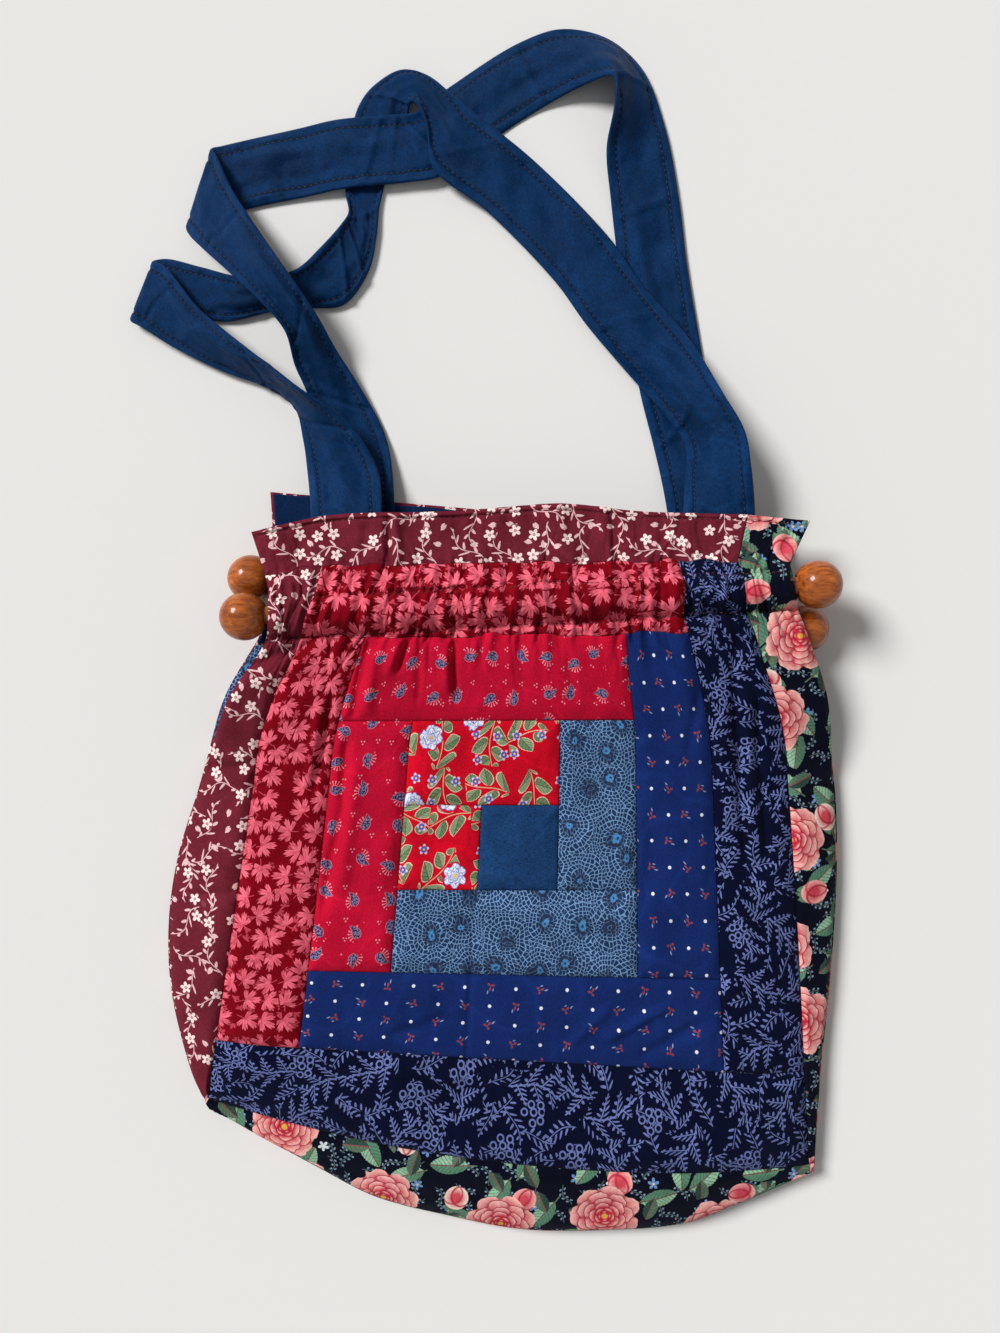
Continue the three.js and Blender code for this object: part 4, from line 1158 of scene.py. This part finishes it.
routes = dict(front=[  # two edge points, their heights in thicknesses, and 1 where they lie on a crease
    [-115, 207, -80, 209, 5.4, 6.4], [-120, 226, -94, 233, 2.2, 8, 1],
    [-125.5, 246, -119.5, 249, 1.4, 12.5, 1], [-143, 256.5, -135.5, 261.5, 1.4, 11.5, 1],
    [-163.5, 263.5, -155, 277.5, 1.6, 9.5, 1], [-190, 276, -175.5, 296, 2.2, 6, 1],
    [-208, 287, -195, 320, 3, 3.4, 1], [-215, 291.5, -202, 324.5, 1.9, 2.1, 1],
    [-209, 293.5, -196, 326.5, 0.75, 0.85, 1], [-186, 294, -176, 321, 0.75, 2, 1],
    [-161, 292, -152, 313, 1, 5.5, 1], [-138, 297, -135, 313.5, 1, 6, 1],
    [-117, 299, -122, 317, 1, 6, 1], [-98, 301, -110, 329, 1, 5, 1], [-84.5, 319, -99, 342, 1, 4.4, 1],
    [-80, 338, -95, 351, 1, 2.6, 1], [-78, 357, -97, 362, 0.85, 0.95, 1],
    [-72, 378, -97.5, 380, 0.75, 0.75, 1], [-65, 394, -94, 398, 0.75, 0.75, 1],
    [-62.5, 402.5, -89.5, 412, 0.9, 0.75, 1], [-61.5, 408.5, -82, 422, 2.2, 0.8, 1],
    [-59.5, 410, -66.5, 430.5, 3.6, 1.2, 1], [-56.5, 407, -52, 426.5, 4.4, 2.2, 1],
    [-52, 396.5, -37, 414, 4.4, 3.3, 1], [-48, 374, -26, 404, 4.1, 3.7], [-18, 352, 6, 380, 1.9, 1.9],
    [19, 314, 47, 338, 1.6, 2.2], [38, 291, 65, 309, 2.3, 2.5], [62, 265, 88, 276, 2.6, 5.4],
    [82, 239, 103, 244, 3.6, 13.6], [94, 222, 113, 224, 4.4, 13], [95, 203, 114, 205, 7.3, 13.2],
], back=[
    [-110, 214, -72, 217, 1.9, 1.9], [-113, 227, -78, 233, 0.9, 0.9], [-118, 251, -90, 257, 1.2, 2.2, 1],
    [-124, 266, -100.5, 273, 4, 5, 1], [-127.5, 281.5, -109.5, 289, 8.2, 9.2, 1],
    [-137.5, 293.5, -123.5, 309.5, 11, 11.4, 1], [-157.5, 313, -142, 336.5, 9, 9, 1],
    [-173, 328, -157.5, 361, 5.6, 5.6, 1], [-181.5, 337, -167, 381, 3.4, 3.4, 1],
    [-184, 342, -170, 386.5, 2.1, 2.1, 1], [-180, 345, -166, 389, 0.75, 0.75, 1],
    [-150, 353, -151, 394, 0.75, 0.75], [-119, 359, -122, 400, 1.2, 1.2],
    [-97, 364, -102, 402, 2.3, 2.3], [-66, 370, -71, 402, 2.3, 2.3], [-45, 373, -57, 404, 2.4, 2.4],
    [-25, 390, -38, 419, 0.75, 0.75], [13, 410, -1, 447, 0.9, 0.75], [34, 419, 23, 453, 4.5, 0.9],
    [49, 417, 47, 448, 10, 0.9], [51, 405, 66, 430, 9, 0.9], [49, 385, 77, 399, 4.5, 0.9],
    [51, 359, 86, 360, 1.4, 0.75], [55, 327, 90, 327, 0.75, 0.75], [61, 288, 96, 290, 0.75, 0.75],
    [67, 252, 103, 255, 0.75, 0.75], [73, 223, 111, 228, 1.2, 1.2], [78, 198, 116, 203, 2.7, 2.7],
])
laps = dict(front=[  # stations behind the facing, at each end
    [[-112, 155, -75, 155], [-112, 170, -75, 170], [-112, 184, -75, 184]],
    [[89, 184, 121, 184], [88, 173, 121, 173], [88, 162, 121, 163]],
], back=[
    [[-107, 166, -70, 166], [-107, 180, -70, 180], [-107, 195, -70, 193]],
    [[81, 176, 119, 172], [82, 163, 120, 163], [83, 151, 121, 151]],
])


def edgePair(row):  # a station's two edge points, at the strap's width unless they lie on a crease
    left, right = np.array([row[0], row[1], row[4]]), np.array([row[2], row[3], row[5]])
    if len(row) > 6:
        return left, right
    middle = (left + right) / 2
    half = (right - left) / np.linalg.norm(right - left) * strap["width"] / 2
    middle[2] += max(0, strap["lift"] * strap["thick"] - middle[2] + abs(half[2]))
    return middle - half, middle + half


def throughStations(points, per):  # a centripetal curve through points, with its direction
    p = np.array(points, float)
    held = np.vstack([2 * p[:1] - p[1:2], p, 2 * p[-1:] - p[-2:-1]])
    place, travel = [], []
    for n in range(len(p) - 1):
        a, b, c, d = held[n:n + 4]
        ab, bc, cd = (max(np.linalg.norm(q - o) ** 0.5, 1e-3) for o, q in ((a, b), (b, c), (c, d)))
        v0 = ((b - a) / ab - (c - a) / (ab + bc) + (c - b) / bc) * bc
        v1 = ((c - b) / bc - (d - b) / (bc + cd) + (d - c) / cd) * bc
        t = np.linspace(0, 1, per, endpoint=n == len(p) - 2)[:, None]
        square, cube = -3 * b + 3 * c - 2 * v0 - v1, 2 * b - 2 * c + v0 + v1
        place.append(b + v0 * t + square * t ** 2 + cube * t ** 3)
        travel.append(v0 + 2 * square * t + 3 * cube * t ** 2)
    return np.vstack(place), np.vstack(travel)


def strapStations(side):  # the two edge points of each station, from lap to lap
    way = -1 if side == "front" else 1
    half = strap["thick"] / 2 + strap["lapGap"]

    def lapped(row):
        ends = np.array(row, float).reshape(2, 2)
        return row + [float(facingInner(side, *end)) + way * half for end in ends]

    raised = [r[:4] + [r[4] * strap["thick"], r[5] * strap["thick"]] + r[6:] for r in routes[side]]
    start, end = laps[side]
    return [edgePair(r) for r in [*map(lapped, start), *raised, *map(lapped, end)]]


def strapRelief(side, s, run, edge):  # ripples, cross creases and lengthwise ridges
    across, along, seed = s[:, None], run[None], strap["seed"][side]
    inFrom, wide = strap["rimRipple"]
    total = 0.8 * noise(across * 3, along / 2.6, seed + 3) * bell(edge - inFrom, wide)[:, None]
    for n, (rise, rate, slant, long) in enumerate(strap["ripples"]):
        total = total + rise * noise(across * rate + along * slant, along / long, seed + n)
    for place, slant, depth in strap["creases"]:
        off = along - place * run[-1] + slant * (across - 0.5) * strap["width"]
        total = total - depth * bell(off, strap["creaseWide"])
    share, fade = along / run[-1], strap["ridgeEnd"]
    for which, start, end, at, wide, rise in strap["ridges"]:
        if which == side:
            held = between(share, start, start + fade, end - fade, end)
            total = total + rise * held * bell(across - at, wide)
    return total


def strapPiece(side):
    pairs = strapStations(side)
    (left, leftWay), (right, rightWay) = (throughStations(line, strap["perStation"]) for line in zip(*pairs))
    normal = unit(np.cross(unit(right - left), unit(leftWay) + unit(rightWay)))
    s = (1 - np.cos(np.linspace(0, math.pi, strap["across"]))) / 2
    s = mix(s, np.linspace(0, 1, strap["across"]), strap["even"])
    middle = mix(left[None], right[None], s[:, None, None])
    edge = np.minimum(s, 1 - s) * strap["width"]
    groove = strap["groove"] * bell(edge - strap["stitchIn"], strap["grooveWide"])
    fat = mix(strap["rimShare"], 1, np.clip(edge / strap["rolled"], 0, 1) ** 0.5)
    fat = fat * (1 - groove) * strap["thick"] / 2
    run = runAlong((left + right) / 2)
    bend = np.linalg.norm(np.gradient(normal, axis=0), axis=1) / np.gradient(run)
    bend = np.convolve(bend, np.ones(strap["calmOver"]) / strap["calmOver"], "same")
    calm = 1 / (1 + (strap["calm"] * bend) ** 2)  # little relief at the sharp folds
    relief = strapRelief(side, s, run, edge) * calm[None] * smooth(0, strap["reliefFrom"], edge)[:, None]
    shift = relief[..., None] * normal[None]
    top = middle + fat[:, None, None] * normal[None] + shift
    under = middle - fat[:, None, None] * normal[None] + shift
    for face in (top, under):
        face[..., 2] = np.maximum(face[..., 2], strap["floor"])
    uv = np.stack(np.broadcast_arrays(run[None] + strap["printShift"], s[:, None] * strap["width"]), -1)
    made = makeSlab(f"{side}_strap_cloth", top, under, uv, prints["strap_navy"])
    dress(made, "bag", f"{side}_strap")
    sewnAt = (strap["stitchIn"], strap["width"] - strap["stitchIn"])
    nearest = [int(np.argmin(np.abs(s * strap["width"] - w))) for w in sewnAt]
    rows = [(top[n], normal) for n in nearest] + [(under[n], -normal) for n in nearest]
    name = f"{side}_strap_stitching"
    sewn = threadPiece(name, rows, navyThread, "navy_solid", spacing=3.3, long=2.3, radius=0.36)


for side in panels:
    strapPiece(side)
print("straps made")

ball = dict(segments=64, rings=40, mouth=11.27, wall=0.8, depth=14, smoothTo=35)


def setWood(made):
    made.data.materials.clear()
    made.data.materials.append(wood)


def ballPiece(side, end):
    sign = -1 if end == "left" else 1
    turn = math.radians(rods[side]["turn"])
    way = np.array([*rodWay(side), 0]) * sign
    place = np.array([*alongRod(sign * rods["span"] / 2, side), rods[side]["axis"]]) * mm
    bpy.ops.object.select_all(action="DESELECT")
    bpy.ops.mesh.primitive_uv_sphere_add(
        segments=ball["segments"], ring_count=ball["rings"], radius=rods["ball"] / 2 * mm, location=place,
        rotation=(0, math.pi / 2, turn),
    )
    made = bpy.context.object
    made.name = f"{side}_ball_{end}_turned"
    bpy.ops.object.transform_apply(location=True, rotation=True, scale=True)
    bpy.ops.object.mode_set(mode="EDIT")
    bpy.ops.mesh.select_all(action="SELECT")
    mouth = place - way * ball["mouth"] * mm
    bpy.ops.mesh.bisect(plane_co=mouth, plane_no=way, use_fill=True, clear_inner=True)
    bpy.ops.mesh.inset(thickness=ball["wall"] * mm)
    bpy.ops.mesh.extrude_region_move(TRANSFORM_OT_translate={"value": tuple(way * ball["depth"] * mm)})
    bpy.ops.object.mode_set(mode="OBJECT")
    bpy.ops.object.shade_smooth_by_angle(angle=math.radians(ball["smoothTo"]))
    setWood(made)
    dress(made, f"{side}_rod", f"{side}_ball_{end}")


for side in panels:
    for end in ("left", "right"):
        ballPiece(side, end)
    setWood(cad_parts[f"{side}_rod"])
print("balls made")

stage = dict(
    floor=(0.80, 0.79, 0.77), floorSize=40, floorRough=0.9, ambient=0.27,
    key=3.4, keyAt=(-1.6, 1.2, 1.75), keyTo=(0.0, 0.1, 0.0), keySpread=20,
)
bpy.ops.mesh.primitive_plane_add(size=stage["floorSize"])
floor = bpy.context.object
floor.name = "floor"
floorMaterial, floorShader = openMaterial("floor")
feed(floorShader, {"Base Color": (*stage["floor"], 1), "Roughness": stage["floorRough"]})
floor.data.materials.append(floorMaterial)

world = bpy.data.worlds.new("studio")
world.use_nodes = True
Wire.tree = world.node_tree
light = Wire(Wire.tree.nodes["Background"].outputs[0])
feed(light.socket.node, {"Color": (1, 1, 1, 1), "Strength": stage["ambient"]})
rays = node("LightPath", out="Is Camera Ray")
seen = rays.op("MAXIMUM", rays.also("Is Glossy Ray")).op("MAXIMUM", rays.also("Is Transmission Ray"))
pale = node("Background", {"Color": (*stage["floor"], 1)})
sky = node("MixShader", {0: seen, 1: light, 2: pale})
feed(Wire.tree.nodes["World Output"], {"Surface": sky})
bpy.context.scene.world = world
aim = Vector(stage["keyTo"]) - Vector(stage["keyAt"])
aimed = aim.to_track_quat("-Z", "Y").to_euler()
bpy.ops.object.light_add(type="SUN", location=stage["keyAt"], rotation=aimed)
key = bpy.context.object
key.name = "key"
key.data.angle = math.radians(stage["keySpread"])
key.data.energy = stage["key"]

view = dict(x=-0.01166, y=0.101, z=0.6, high=0.74, sensor=36)
bpy.ops.object.camera_add(location=(view["x"], view["y"], view["z"]), rotation=(0, 0, 0))
camera = bpy.context.object
camera.data.sensor_fit = "VERTICAL"
camera.data.sensor_height = view["sensor"]
camera.data.lens = view["sensor"] * view["z"] / view["high"]
bpy.context.scene.camera = camera
bpy.context.scene.view_settings.view_transform = "Standard"
print("stage set")
